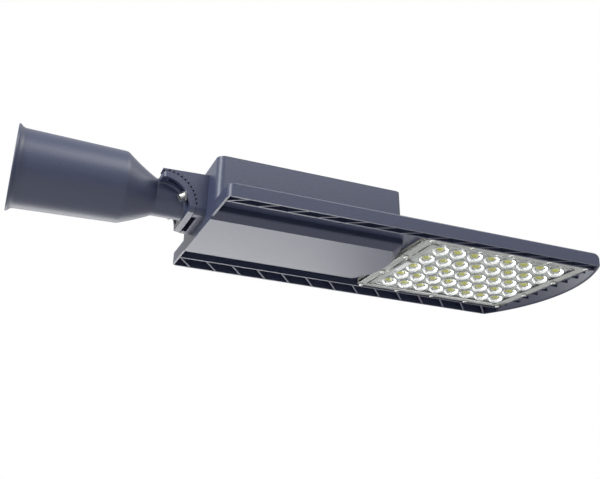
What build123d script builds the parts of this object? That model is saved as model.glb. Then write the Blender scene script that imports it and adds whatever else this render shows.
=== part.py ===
from build123d import *
import math
import os

# LED street light head: a cast pole sleeve with a toothed tilt knuckle, and a cast
# head that carries the driver compartment behind and the 40-lens LED module in front.
# All sizes are millimetres. The part's origin is the centre of the sleeve's mouth, and
# +X runs along the pole's axis towards the nose. The sleeve is built in that frame.
# The head is built in its own frame, with x = 0 at the rear wall, y = 0 on the centre
# plane and z = 0 at the lower rim, and is moved to its place when it is written.

# Pole sleeve
SOCKET_D = 63.0            # takes a 60 mm pole end
SOCKET_DEPTH = 92.0
SLEEVE_MOUTH_D = 74.8
SLEEVE_SHOULDER_D = 69.6
SLEEVE_SHOULDER_X = 100.8
SHOULDER_R = 8.0
RIM_D = 81.4
RIM_LIP = 2.0
RIM_COVE = 4.5
CONE_MID_X = 116.3
CONE_MID_D = 52.4
CONE_MID_DROP = 2.9
NECK_X = 131.3
NECK_D = 36.8
NECK_DROP = 4.0            # the neck's axis lies this far below the pole's axis
NECK_BORE_D = 25.0
NECK_ROOT_R = 1.8          # the bend between the neck and its flange
SET_SCREW_D = 8.0
SET_SCREW_LENGTH = 5.0
SET_SCREW_X = (26.0, 72.0)
SET_SCREW_TURN = 40.0      # degrees above the horizontal, on the far side
SET_SCREW_KEY = 4.0

# Tilt knuckle
PIVOT_X = 134.2
PIVOT_DROP = 21.0          # the tilt axis below the pole's axis
SEAT_R = 32.7
RUN_CLEARANCE = 0.3
FLANGE_THICK = 5.8
FLANGE_HALF_W = 32.4
FLANGE_FROM, FLANGE_TO = -7.5, 92.0
FLANGE_CORNER_R = 4.6
BOSS_R = 35.8              # the neck's root stands behind the flange to this radius
SLOT_Y = 25.3
SLOT_W = 6.0
SLOT_FROM, SLOT_TO = 11.0, 73.0
TOOTH_FIRST = 8.0
TOOTH_STEP = 7.45
TOOTH_DEPTH = 2.0
TOOTH_W = 3.0
TILT_SCREW_ANGLE = 30.0
TILT_SCREW_D = 5.0
TILT_HEAD_D = 8.5
TILT_HEAD_H = 5.0
TILT_KEY = 4.0
TILT_SCREW_END_R = 46.0
WASHER_THICK = 1.0
WASHER_D = 10.0

# Bracket on the head's rear wall
BRACKET_BACK = 45.0
BRACKET_TOP = 49.6
BRACKET_FALL = 1.5         # its top falls this much from the wall to its end
BRACKET_BOTTOM = 8.5
BRACKET_EDGE_R = 6.0
BRACKET_TOP_R = 0.8
RELIEF_R = 37.0
RELIEF_HALF_W = 20.5
CORE_HALF_W = 15.0
CORE_WALL = 4.0
CABLE_HOLE_D = 12.0
CABLE_HOLE_ANGLE = 33.0

# Housing
HOUSING_W = 210.0
SIDE_LENGTH = 397.0
NOSE_BULGE = 29.3
NOSE_RUN = 97.0            # the nose's part starts this far behind the sides' end
SKIRT_H = 13.2
SKIRT_WALL = 2.2
SKIN = 2.8
TOP_EDGE_R = 1.5
NOSE_EDGE_R = 6.0
REAR_CORNER_R = 6.5
REAR_WALL = 2.6
CHANNEL_W = 20.3           # from the side's face to the middle of the inner wall
INNER_WALL = 2.2
INNER_LIP = 3.2            # the inner wall's lip stands this far above the rim plane
INNER_WALL_REACH = 12.0    # past the sides' end
RIB_PITCH = 28.82
RIB_FIRST = 20.8
RIB_LEAN = 16.6
RIB_THICK = 1.8
NOSE_RIB_COUNT = 9
NOSE_RIB_PITCH = 17.65
NOSE_RIB_LENGTH = 7.5
NOSE_RIB_THICK = 1.2
NOSE_SLOPE = 15.0
FIN_COUNT = 15
FIN_PITCH = 10.4
FIN_THICK = 2.2
FIN_H = 9.0
FIN_REAR_GAP = 11.6        # in front of the driver compartment
FIN_NOSE_GAP = 1.0         # behind the sides' end
FIN_NOSE_H = 1.5

# Belly under the driver compartment
BELLY_HALF_W = 55.0
BELLY_SIDE_REACH = 4.6     # in front of the compartment, at the belly's sides
BELLY_FRONT_REACH = 16.0   # the same on the centre plane
BELLY_CORNER_R = 6.0
BELLY_SIDE_R = 4.0
BELLY_DEPTH = 1.84         # below the rim plane
BELLY_CHAMFER = 6.6
BELLY_SLOPE_SIDE = 8.4     # the front slope's run at the sides
BELLY_SLOPE_FRONT = 4.1
BELLY_WALL = 3.0

# Driver compartment above
BOX_LENGTH = 192.4
BOX_HALF_W = 64.0
BOX_TOP = 58.0
BOX_DRAFT = 2.0
BOX_REAR_R = 8.0
BOX_FRONT_R = 6.0
BOX_TOP_R = 2.0
BOX_WALL = 5.0
LID_THICK = 3.0
LID_LEDGE = 2.6
LID_DROP = 0.6             # the lid's face lies this far below the walls' rim
LID_GAP = 0.3
GASKET_THICK = 2.0
LID_BOSS_D = 10.0
LID_SCREW_D = 4.0
LID_RIBS = 5
LID_RIB_PITCH = 22.0
LID_RIB_HALF_W = 34.0
LID_RIB_W = 2.4

# Wire duct from the compartment to the LED board
DUCT_LENGTH = 34.0
DUCT_HALF_W = 11.0
DUCT_H = 11.0
DUCT_WALL = 2.5

# LED module
PLATE_BELLY_GAP = 2.0      # between the belly's front and the plate
PLATE_NOSE_REACH = 6.0     # past the sides' end
PLATE_SIDE_GAP = 0.6
PLATE_Z = 4.2
PLATE_THICK = 3.0
PLATE_CORNER_R = 3.0
PLATE_GAP = 0.4            # between the plate and the nose's wall
LED_ROWS = 5
LED_REAR_MARGIN = 28.1     # from the plate's rear edge to the first column
LED_FRONT_MARGIN = 23.5
LED_PITCH_X = 20.13
LED_PITCH_Y = 27.95
LED_OFFSET_Y = -1.2
LED_SIZE = 5.0
LED_H = 0.9
LENS_D = 19.2
LENS_H = 5.8
LENS_COLLAR = 1.0
LOBE_D = 17.8
LOBE_R = 9.5
LOBE_SHIFT = 2.2
BEAD_W = 1.6
BEAD_H = 1.0
BEAD_REAR_MARGIN = 8.8
BEAD_FRONT_MARGIN = 11.4
BEAD_SIDE_MARGIN = 10.0
BEAD_GAP = 10.0
COVER_MARGIN = 11.2
COVER_W = 6.8
COVER_Y = -2.0
COVER_HALF_W = 15.0
COVER_H = 2.4
BOARD_REAR_MARGIN = 17.1
BOARD_FRONT_MARGIN = 12.5
BOARD_SIDE_MARGIN = 11.5
BOARD_THICK = 1.6
PAD_THICK = 0.5
GASKET_BORDER = 0.5
PLATE_SCREW_REAR_MARGIN = 5.2
PLATE_SCREW_FRONT_MARGIN = 3.24
PLATE_SCREW_SIDE_MARGIN = 2.6
PLATE_SCREW_REACH = 54.0   # neighbours along an edge lie no further apart than this
PLATE_SCREW_D = 3.0
PLATE_HEAD_D = 5.4
PLATE_HEAD_H = 1.4
PLATE_POST_D = 5.6
BOARD_SCREW_D = 3.0
BOARD_HEAD_D = 5.0
BOARD_HEAD_H = 1.4

# Inside the compartment
TRAY_Z = 6.0
TRAY_THICK = 1.5
TRAY_HALF_W = 47.0
TRAY_REAR = 12.0
TRAY_FRONT_GAP = 12.4
TRAY_LIP = 8.0
TRAY_BOSS_D = 9.0
DRIVER_REAR_GAP = 19.0     # from the tray's rear edge
DRIVER_FRONT_GAP = 13.0
DRIVER_W = 58.0
DRIVER_H = 34.0
DRIVER_Y = 15.0
SURGE_LENGTH = 50.0
SURGE_W = 28.0
SURGE_H = 34.0
SURGE_FRONT_GAP = 48.0     # from its middle to the tray's front edge
SURGE_Y = -31.0
TERMINAL_LENGTH = 36.0
TERMINAL_W = 18.0
TERMINAL_H = 16.0
TERMINAL_X = 68.0
TERMINAL_Y = -32.0
TERMINAL_POLES = 3
CLAMP_X = 24.0
CLAMP_Y = -4.0
CLAMP_LENGTH = 26.0
CLAMP_W = 9.0
CLAMP_ARCH_R = 5.0
CLAMP_SCREW_Y = 10.0
SMALL_SCREW_D = 3.0
SMALL_HEAD_D = 6.0
SMALL_HEAD_H = 2.2
EARTH_X = 38.0
EARTH_Y = -36.0
VENT_D = 12.0
VENT_HEX = 17.0
VENT_Z = 36.0
VENT_Y = -34.0
VENT_SEAT_D = 21.0
VENT_SEAT_DEPTH = 1.6
FIT = 0.1                  # radial gap round a screw in its hole

PIVOT = (PIVOT_X, 0.0, -PIVOT_DROP)
SEAT_BACK = 43.1           # the tilt axis behind the rear wall
PIVOT_RISE = 13.5          # the tilt axis above the rim plane
HEAD_PLACE = Pos(PIVOT_X + SEAT_BACK, 0, -PIVOT_DROP - PIVOT_RISE)
HEAD_PIVOT = (-SEAT_BACK, 0.0, PIVOT_RISE)
FLOOR_Z = SKIRT_H - SKIN
FLANGE_OUT_R = SEAT_R - RUN_CLEARANCE
FLANGE_IN_R = FLANGE_OUT_R - FLANGE_THICK
NOSE_R = (HOUSING_W**2 / 4 + NOSE_BULGE**2) / (2 * NOSE_BULGE)
NOSE_CENTRE = SIDE_LENGTH + NOSE_BULGE - NOSE_R
INNER_WALL_Y = HOUSING_W / 2 - CHANNEL_W
INNER_WALL_END = SIDE_LENGTH + INNER_WALL_REACH
RIB_COUNT = int((SIDE_LENGTH - RIB_FIRST) / RIB_PITCH) + 1
FIN_FROM = BOX_LENGTH + FIN_REAR_GAP
FIN_TO = SIDE_LENGTH - FIN_NOSE_GAP
BELLY_SIDE = BOX_LENGTH + BELLY_SIDE_REACH
BELLY_FRONT = BOX_LENGTH + BELLY_FRONT_REACH
LID_TOP = BOX_TOP - LID_DROP
LID_BOTTOM = LID_TOP - LID_THICK
LEDGE_Z = LID_BOTTOM - GASKET_THICK
COMPARTMENT_Z = BELLY_WALL - BELLY_DEPTH
VENT_SEAT_X = BOX_LENGTH - VENT_SEAT_DEPTH
PLATE_REAR = BELLY_FRONT + PLATE_BELLY_GAP
PLATE_FRONT = SIDE_LENGTH + PLATE_NOSE_REACH
PLATE_HALF_W = INNER_WALL_Y - INNER_WALL / 2 - PLATE_SIDE_GAP
LED_X = PLATE_REAR + LED_REAR_MARGIN
LED_COLUMNS = int((PLATE_FRONT - LED_FRONT_MARGIN - LED_X) / LED_PITCH_X) + 1
BEAD_REAR = PLATE_REAR + BEAD_REAR_MARGIN
BEAD_FRONT = PLATE_FRONT - BEAD_FRONT_MARGIN
BEAD_HALF_W = PLATE_HALF_W - BEAD_SIDE_MARGIN
BOARD_REAR = PLATE_REAR + BOARD_REAR_MARGIN
BOARD_FRONT = PLATE_FRONT - BOARD_FRONT_MARGIN
BOARD_HALF_W = PLATE_HALF_W - BOARD_SIDE_MARGIN
TRAY_LENGTH = BOX_LENGTH - TRAY_REAR - TRAY_FRONT_GAP
DRIVER_REAR = TRAY_REAR + DRIVER_REAR_GAP
DRIVER_LENGTH = TRAY_LENGTH - DRIVER_REAR_GAP - DRIVER_FRONT_GAP
SURGE_X = TRAY_REAR + TRAY_LENGTH - SURGE_FRONT_GAP


def box(x0, x1, y0, y1, z0, z1):
    """A block between two corners."""
    middle = Pos((x0 + x1) / 2, (y0 + y1) / 2, (z0 + z1) / 2)
    return middle * Box(x1 - x0, y1 - y0, z1 - z0)


def post(x, y, z0, z1, diameter):
    """An upright cylinder between two heights."""
    return Pos(x, y, (z0 + z1) / 2) * Cylinder(diameter / 2, z1 - z0)


def rod(x0, x1, z, diameter, y=0.0):
    """A cylinder along X between two stations."""
    return Pos((x0 + x1) / 2, y, z) * Rot(0, 90, 0) * Cylinder(diameter / 2, x1 - x0)


def ring_sector(centre, r_in, r_out, from_angle, to_angle, y0, y1):
    """A slice of a ring round an axis along Y, between two angles up from +X."""
    outer = CenterArc((0, 0), r_out, from_angle, to_angle - from_angle)
    inner = CenterArc((0, 0), r_in, from_angle, to_angle - from_angle)
    face = make_face([outer, Line(outer @ 1, inner @ 1), inner, Line(inner @ 0, outer @ 0)])
    plane = Plane((centre[0], y1, centre[2]), x_dir=(1, 0, 0), z_dir=(0, -1, 0))
    return extrude(plane * face, y1 - y0)


def drum(centre, radius, half_width):
    """A full cylinder round an axis along Y."""
    return Pos(*centre) * Rot(90, 0, 0) * Cylinder(radius, 2 * half_width)


def radial(centre, angle, r0, r1, diameter, y):
    """A cylinder along a radius of the knuckle, from one radius to another."""
    turn = Pos(centre[0], y, centre[2]) * Rot(0, 90 - angle, 0)
    return turn * Pos(0, 0, (r0 + r1) / 2) * Cylinder(diameter / 2, r1 - r0)


def spread(start, end, reach):
    """Even stations from one end to the other, with no step longer than the reach."""
    steps = math.ceil((end - start) / reach)
    return [start + (end - start) * i / steps for i in range(steps + 1)]


def socket_key(x, y, z0, z1, across):
    """A hexagon recess along Z."""
    return Pos(x, y, z0) * extrude(RegularPolygon(across / math.sqrt(3), 6), z1 - z0)


def screw_down(x, y, z_seat, length, diameter, head_d, head_h):
    """A pan-head screw pointing down, with its head's underside on the seat."""
    shank = post(x, y, z_seat - length, z_seat, diameter)
    head = post(x, y, z_seat, z_seat + head_h, head_d)
    rim = head.edges().group_by(Axis.Z)[-1]
    head = chamfer(rim, head_h * 0.35)
    slot = box(x - head_d * 0.3, x + head_d * 0.3, y - 0.4, y + 0.4, z_seat + head_h * 0.5, z_seat + head_h)
    cross = box(x - 0.4, x + 0.4, y - head_d * 0.3, y + head_d * 0.3, z_seat + head_h * 0.5, z_seat + head_h)
    return shank + head - slot - cross


def screw_up(x, y, z_seat, length, diameter, head_d, head_h):
    """The same screw driven from below."""
    return Pos(x, y, z_seat) * Rot(180, 0, 0) * screw_down(0, 0, 0, length, diameter, head_d, head_h)


# Pole sleeve side

def set_screw_place(x):
    return Pos(x, 0, 0) * Rot(90 + SET_SCREW_TURN - 180, 0, 0)


def sleeve_skin(x):
    """The sleeve's outer radius where its body tapers."""
    share = (x - RIM_LIP - RIM_COVE) / (SLEEVE_SHOULDER_X - RIM_LIP - RIM_COVE)
    return SLEEVE_MOUTH_D / 2 + share * (SLEEVE_SHOULDER_D - SLEEVE_MOUTH_D) / 2


def sleeve_body():
    r_rim = RIM_D / 2
    r_mouth = SLEEVE_MOUTH_D / 2
    r_shoulder = SLEEVE_SHOULDER_D / 2
    cove_end = (RIM_LIP + RIM_COVE, r_mouth)
    cove_mid = (RIM_LIP + RIM_COVE * 0.38, r_mouth + (r_rim - r_mouth) * 0.36)
    profile = make_face([
        Line((0, 0), (0, r_rim - 1)),
        ThreePointArc((0, r_rim - 1), (0.3, r_rim - 0.3), (1, r_rim)),
        Line((1, r_rim), (RIM_LIP, r_rim - 0.4)),
        ThreePointArc((RIM_LIP, r_rim - 0.4), cove_mid, cove_end),
        Line(cove_end, (SLEEVE_SHOULDER_X, r_shoulder)),
        Line((SLEEVE_SHOULDER_X, r_shoulder), (SLEEVE_SHOULDER_X, 0)),
        Line((SLEEVE_SHOULDER_X, 0), (0, 0)),
    ])
    return revolve(Plane.XZ * profile, Axis.X)


def cone_section(x, drop, diameter):
    return Plane((x, 0, -drop), x_dir=(0, 1, 0), z_dir=(1, 0, 0)) * Circle(diameter / 2)


def on_neck_root(point):
    """Whether a point lies where the neck's skin meets the flange's inner face."""
    from_pivot = math.hypot(point.X - PIVOT_X, point.Z + PIVOT_DROP)
    from_axis = math.hypot(point.Y, point.Z + NECK_DROP)
    return abs(from_pivot - FLANGE_IN_R) < 0.02 and abs(from_axis - NECK_D / 2) < 0.02


def make_pole_sleeve():
    shoulder = cone_section(SLEEVE_SHOULDER_X, 0, SLEEVE_SHOULDER_D)
    middle = cone_section(CONE_MID_X, CONE_MID_DROP, CONE_MID_D)
    neck_start = cone_section(NECK_X, NECK_DROP, NECK_D)
    cone = loft([shoulder.face(), middle.face(), neck_start.face()])
    neck = rod(NECK_X, PIVOT_X + SEAT_R, -NECK_DROP, NECK_D) & drum(PIVOT, BOSS_R, NECK_D)
    body = sleeve_body() + cone
    ring = [e for e in body.edges().filter_by(GeomType.CIRCLE)
            if abs(e.center().X - SLEEVE_SHOULDER_X) < 0.1]
    body = fillet(ring, SHOULDER_R)

    flange = ring_sector(PIVOT, FLANGE_IN_R, FLANGE_OUT_R, FLANGE_FROM, FLANGE_TO,
                         -FLANGE_HALF_W, FLANGE_HALF_W)
    corners = [e for e in flange.edges().filter_by(GeomType.LINE)
               if e.length < FLANGE_THICK + 0.1]
    flange = fillet(corners, FLANGE_CORNER_R)
    sleeve = body + neck + flange
    root = [e for e in sleeve.edges() if all(on_neck_root(e @ share) for share in (0.1, 0.5, 0.9))]
    sleeve = fillet(root, NECK_ROOT_R)

    for side in (-1, 1):
        y = side * SLOT_Y
        sleeve -= ring_sector(PIVOT, FLANGE_IN_R - 2, SEAT_R + 1, SLOT_FROM, SLOT_TO,
                              y - SLOT_W / 2, y + SLOT_W / 2)
        for angle in (SLOT_FROM, SLOT_TO):
            sleeve -= radial(PIVOT, angle, FLANGE_IN_R - 2, SEAT_R + 1, SLOT_W, y)

    inner_wide = cone_section(SOCKET_DEPTH, 0, SOCKET_D - 6)
    inner_narrow = cone_section(NECK_X - 4, NECK_DROP, NECK_BORE_D)
    sleeve -= rod(-1, SOCKET_DEPTH, 0, SOCKET_D)
    sleeve -= loft([inner_wide.face(), inner_narrow.face()])
    sleeve -= rod(NECK_X - 5, PIVOT_X + SEAT_R + 4, -NECK_DROP, NECK_BORE_D)
    for x in SET_SCREW_X:
        hole = Cylinder(SET_SCREW_D / 2 + FIT, RIM_D / 2, align=(Align.CENTER, Align.CENTER, Align.MIN))
        sleeve -= set_screw_place(x) * hole
    return sleeve


def make_sleeve_set_screws():
    screws = []
    start = SOCKET_D / 2
    for x in SET_SCREW_X:
        screw = Pos(0, 0, start + SET_SCREW_LENGTH / 2) * Cylinder(SET_SCREW_D / 2, SET_SCREW_LENGTH)
        screw -= socket_key(0, 0, start + SET_SCREW_LENGTH * 0.4, start + SET_SCREW_LENGTH, SET_SCREW_KEY)
        screws.append(set_screw_place(x) * screw)
    return screws


# Housing

def housing_outline():
    half = HOUSING_W / 2
    nose = ThreePointArc((SIDE_LENGTH, -half), (SIDE_LENGTH + NOSE_BULGE, 0), (SIDE_LENGTH, half))
    return make_face([
        Line((0, half), (0, -half)),
        Line((0, -half), (SIDE_LENGTH, -half)),
        nose,
        Line((SIDE_LENGTH, half), (0, half)),
    ])


def nose_disc():
    """A disc whose upper edge is rounded, which gives the nose its rolled edge."""
    r = NOSE_R
    e = NOSE_EDGE_R
    bend = e * (1 - math.cos(math.radians(45)))
    profile = make_face([
        Line((0, 0), (r, 0)),
        Line((r, 0), (r, SKIRT_H - e)),
        ThreePointArc((r, SKIRT_H - e), (r - bend, SKIRT_H - bend), (r - e, SKIRT_H)),
        Line((r - e, SKIRT_H), (0, SKIRT_H)),
        Line((0, SKIRT_H), (0, 0)),
    ])
    return Pos(NOSE_CENTRE, 0, 0) * revolve(Plane.XZ * profile, Axis.Z)


def nose_inner_slope():
    """The inner face of the nose, which slopes up from the lip to the floor."""
    r = NOSE_R - SKIRT_WALL * 0.6
    profile = make_face([
        Line((r, 0), (r, FLOOR_Z)),
        Line((r, FLOOR_Z), (r - NOSE_SLOPE, FLOOR_Z)),
        Line((r - NOSE_SLOPE, FLOOR_Z), (r, 0)),
    ])
    return Pos(NOSE_CENTRE, 0, 0) * revolve(Plane.XZ * profile, Axis.Z)


def channel_ribs():
    """Slanted ribs between the skirt and the inner wall, lower towards the skirt."""
    inner = INNER_WALL_Y
    outer = HOUSING_W / 2 - SKIRT_WALL / 2
    reach = RIB_THICK / 2 * math.hypot(RIB_LEAN, outer - inner) / (outer - inner)
    plan = make_face(Polyline((-RIB_LEAN - reach, inner), (-RIB_LEAN + reach, inner),
                              (reach, outer), (-reach, outer), close=True))
    rib = extrude(plan, FLOOR_Z + 0.5)
    ribs = Part() + [Pos(RIB_FIRST + i * RIB_PITCH, 0, 0) * rib for i in range(RIB_COUNT)]
    under = make_face(Polyline((inner - 1, -1), (outer + 1, -1), (outer + 1, 0), (outer, 0),
                               (inner, INNER_LIP), (inner - 1, INNER_LIP), close=True))
    slope = Plane((-2 * RIB_LEAN, 0, 0), x_dir=(0, 1, 0), z_dir=(1, 0, 0)) * under
    ribs -= extrude(slope, SIDE_LENGTH + 4 * RIB_LEAN)
    return ribs + mirror(ribs, Plane.XZ)


def belly_outline(side, front, half, corner):
    """A plan with a bowed front and, where a corner is given, rounded front corners."""
    plan = make_face([
        Line((0, half), (0, -half)),
        Line((0, -half), (side, -half)),
        ThreePointArc((side, -half), (front, 0), (side, half)),
        Line((side, half), (0, half)),
    ])
    if not corner:
        return plan
    return fillet([v for v in plan.vertices() if v.X > side - 0.1], corner)


def belly_form(inset, corner=0.0):
    """The belly, full size or inset by its wall for the hollow inside it."""
    half = BELLY_HALF_W - inset
    side = BELLY_SIDE - inset
    front = BELLY_FRONT - inset
    top = belly_outline(side, front, half, corner)
    low = belly_outline(side - BELLY_SLOPE_SIDE, front - BELLY_SLOPE_FRONT,
                        half - BELLY_CHAMFER, corner / 3)
    knee = BELLY_CHAMFER - BELLY_DEPTH + inset
    foot = inset - BELLY_DEPTH
    upper = extrude(Pos(0, 0, knee) * top, SKIRT_H + inset - knee)
    lower = loft([Pos(0, 0, foot) * low, Pos(0, 0, knee) * top], ruled=True)
    return upper + lower


def belly_skin():
    """The belly's outer form, with a soft bend from its sides into the slopes."""
    skin = belly_form(0, BELLY_CORNER_R)
    knee = BELLY_CHAMFER - BELLY_DEPTH
    bends = [e for e in skin.edges().filter_by(Axis.X)
             if abs(e.center().Z - knee) < 0.01 and abs(e.center().Y) > BELLY_HALF_W - 0.1]
    return fillet(bends, BELLY_SIDE_R)


def box_form(inset, z0, z1):
    """The drafted compartment, full size or inset by its wall."""
    back = 20.0
    middle = (BOX_LENGTH - back) / 2
    plan = Rectangle(BOX_LENGTH + back - 2 * inset, 2 * (BOX_HALF_W - inset))
    form = extrude(Pos(middle, 0, SKIRT_H) * plan, BOX_TOP - SKIRT_H + 5, taper=BOX_DRAFT)
    form = form & box(inset, BOX_LENGTH, -BOX_HALF_W, BOX_HALF_W, SKIRT_H, z1)
    uprights = [e for e in form.edges() if abs(e.tangent_at(0.5).Z) > 0.9]
    rear = [e for e in uprights if e.center().X < BOX_LENGTH / 2]
    front = [e for e in uprights if e.center().X > BOX_LENGTH / 2]
    form = fillet(rear, BOX_REAR_R - inset)
    form = fillet([e for e in form.edges() if any(
        (e.center() - f.center()).length < 0.01 for f in front)], BOX_FRONT_R - min(inset, 4.0))
    if z0 < SKIRT_H:
        plan = form.faces().sort_by(Axis.Z)[0]
        form += extrude(plan, SKIRT_H - z0)
    return form


def bracket_block():
    """The seat of the knuckle, cast on the rear wall."""
    side = make_face(Polyline(
        (-BRACKET_BACK, BRACKET_BOTTOM), (REAR_WALL, BRACKET_BOTTOM), (REAR_WALL, BRACKET_TOP),
        (0, BRACKET_TOP), (-BRACKET_BACK, BRACKET_TOP - BRACKET_FALL), close=True))
    plane = Plane((0, FLANGE_HALF_W, 0), x_dir=(1, 0, 0), z_dir=(0, -1, 0))
    block = extrude(plane * side, 2 * FLANGE_HALF_W)
    low = [e for e in block.edges().filter_by(Axis.X) if e.center().Z < BRACKET_BOTTOM + 1]
    block = fillet(low, BRACKET_EDGE_R)
    top = [e for e in block.edges() if e.length > BRACKET_BACK - 1 and e.center().Z > BRACKET_TOP - 2]
    return fillet(top, BRACKET_TOP_R)


def bracket_cuts():
    """The toothed seat, the relief behind the flange, the screw and cable holes."""
    cuts = drum(HEAD_PIVOT, SEAT_R, FLANGE_HALF_W + 1)
    cuts += drum(HEAD_PIVOT, RELIEF_R, RELIEF_HALF_W)
    notches = int((FLANGE_TO - TOOTH_FIRST - TOOTH_STEP) // TOOTH_STEP) + 1
    for i in range(notches):
        angle = math.radians(TOOTH_FIRST + i * TOOTH_STEP)
        spread = math.asin(TOOTH_W / 2 / SEAT_R)
        low = SEAT_R - 0.4
        tip = SEAT_R + TOOTH_DEPTH
        notch = make_face(Polyline(
            (low * math.cos(angle - spread), low * math.sin(angle - spread)),
            (low * math.cos(angle + spread), low * math.sin(angle + spread)),
            (tip * math.cos(angle), tip * math.sin(angle)), close=True))
        plane = Plane((HEAD_PIVOT[0], FLANGE_HALF_W + 1, HEAD_PIVOT[2]),
                      x_dir=(1, 0, 0), z_dir=(0, -1, 0))
        cuts += extrude(plane * notch, 2 * FLANGE_HALF_W + 2)
    for side in (-1, 1):
        cuts += radial(HEAD_PIVOT, TILT_SCREW_ANGLE, SEAT_R - 1, TILT_SCREW_END_R + 1,
                       TILT_SCREW_D + 2 * FIT, side * SLOT_Y)
    cuts += radial(HEAD_PIVOT, CABLE_HOLE_ANGLE, RELIEF_R - 2, RELIEF_R + CORE_WALL + 2,
                   CABLE_HOLE_D, 0)
    return cuts


def bracket_core():
    """The hollow inside the bracket, open to the driver compartment."""
    core = box(-BRACKET_BACK, BOX_WALL + 1, -CORE_HALF_W, CORE_HALF_W,
               BRACKET_BOTTOM + CORE_WALL, BRACKET_TOP - BRACKET_FALL - CORE_WALL)
    return core - drum(HEAD_PIVOT, RELIEF_R + CORE_WALL, CORE_HALF_W + 1)


def lid_screw_points():
    inset = BOX_WALL + LID_BOSS_D / 2 - 1.5
    xs = (inset + 1, BOX_LENGTH / 2, BOX_LENGTH - inset - 2)
    return [(x, side * (BOX_HALF_W - inset - 2)) for x in xs for side in (-1, 1)]


def tray_screw_points():
    x0 = TRAY_REAR + 6
    x1 = TRAY_REAR + TRAY_LENGTH - 6
    y = TRAY_HALF_W - 7
    return [(x0, -y), (x0, y), (x1, -y), (x1, y)]


def clamp_screw_points():
    return [(CLAMP_X, CLAMP_Y + side * CLAMP_SCREW_Y) for side in (-1, 1)]


def driver_screw_points():
    return [(x, DRIVER_Y) for x in (DRIVER_REAR + 3.2, DRIVER_REAR + DRIVER_LENGTH - 3.2)]


def plate_screw_points():
    half = PLATE_HALF_W - PLATE_SCREW_SIDE_MARGIN
    xs = spread(PLATE_REAR + PLATE_SCREW_REAR_MARGIN, PLATE_FRONT - PLATE_SCREW_FRONT_MARGIN,
                PLATE_SCREW_REACH)
    ys = spread(-half, half, PLATE_SCREW_REACH)
    sides = [(x, y) for x in xs for y in (ys[0], ys[-1])]
    return sides + [(x, y) for x in (xs[0], xs[-1]) for y in ys[1:-1]]


def board_screw_points():
    xs = [LED_X + (i + 0.5) * LED_PITCH_X for i in (0, LED_COLUMNS // 2 - 1, LED_COLUMNS - 2)]
    ys = [LED_OFFSET_Y + side * 1.5 * LED_PITCH_Y for side in (-1, 1)]
    return [(x, y) for x in xs for y in ys]


def led_points():
    xs = [LED_X + i * LED_PITCH_X for i in range(LED_COLUMNS)]
    ys = [LED_OFFSET_Y + (i - (LED_ROWS - 1) / 2) * LED_PITCH_Y for i in range(LED_ROWS)]
    return [(x, y) for x in xs for y in ys]


def housing_shell():
    """The flat casting: top skin, skirt, inner walls and ribs."""
    outline = housing_outline()
    seam = SIDE_LENGTH - NOSE_RUN
    rear = extrude(outline, SKIRT_H) & box(0, seam, -HOUSING_W, HOUSING_W, 0, SKIRT_H)
    nose = extrude(outline, SKIRT_H) & nose_disc()
    nose = nose & box(seam, 2 * SIDE_LENGTH, -HOUSING_W, HOUSING_W, 0, SKIRT_H)
    rear = fillet([e for e in rear.edges().filter_by(Axis.Z) if e.center().X < 1], REAR_CORNER_R)
    shell = rear + nose
    top = [e for e in shell.edges().group_by(Axis.Z)[-1]
           if e.center().X < 1 + REAR_CORNER_R or abs(e.center().Y) > HOUSING_W / 2 - 0.01]
    shell = fillet(top, TOP_EDGE_R)

    hollow = extrude(offset(outline, -SKIRT_WALL), FLOOR_Z)
    front = PLATE_FRONT + PLATE_GAP
    slope = nose_inner_slope() & box(front, 2 * SIDE_LENGTH, -HOUSING_W, HOUSING_W, 0, SKIRT_H)
    shell -= hollow - slope

    top = FLOOR_Z + 0.5
    walls = [box(SKIRT_WALL / 2, INNER_WALL_END, y - INNER_WALL / 2, y + INNER_WALL / 2, INNER_LIP, top)
             for y in (-INNER_WALL_Y, INNER_WALL_Y)]
    walls.append(box(front, front + INNER_WALL, -INNER_WALL_Y, INNER_WALL_Y, PLATE_Z, top))
    for i in range(NOSE_RIB_COUNT):
        y = (i - (NOSE_RIB_COUNT - 1) / 2) * NOSE_RIB_PITCH
        walls.append(box(front + 1, front + 1 + NOSE_RIB_LENGTH,
                         y - NOSE_RIB_THICK / 2, y + NOSE_RIB_THICK / 2, INNER_LIP, top))
    return shell + walls + [channel_ribs()]


def cooling_fins():
    """Straight fins on the top skin over the LED board, lower towards the nose."""
    fin = box(FIN_FROM, FIN_TO, -FIN_THICK / 2, FIN_THICK / 2, SKIRT_H - 0.5, SKIRT_H + FIN_H)
    fins = Part() + [Pos(0, (i - (FIN_COUNT - 1) / 2) * FIN_PITCH, 0) * fin
                     for i in range(FIN_COUNT)]
    ends = make_face(Polyline(
        (FIN_FROM - 1, SKIRT_H - 1), (FIN_FROM, SKIRT_H - 1), (FIN_FROM + FIN_H, SKIRT_H + FIN_H),
        (FIN_TO - 3 * FIN_H, SKIRT_H + FIN_H), (FIN_TO, SKIRT_H + FIN_NOSE_H), (FIN_TO, SKIRT_H - 1),
        (FIN_TO + 1, SKIRT_H - 1), (FIN_TO + 1, SKIRT_H + FIN_H + 1),
        (FIN_FROM - 1, SKIRT_H + FIN_H + 1), close=True))
    plane = Plane((0, HOUSING_W / 2, 0), x_dir=(1, 0, 0), z_dir=(0, -1, 0))
    fins -= extrude(plane * ends, HOUSING_W)
    duct_room = DUCT_HALF_W + 3
    return fins - box(FIN_FROM - 1, BOX_LENGTH + DUCT_LENGTH + 3, -duct_room, duct_room,
                      SKIRT_H - 1, SKIRT_H + FIN_H + 1)


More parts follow.
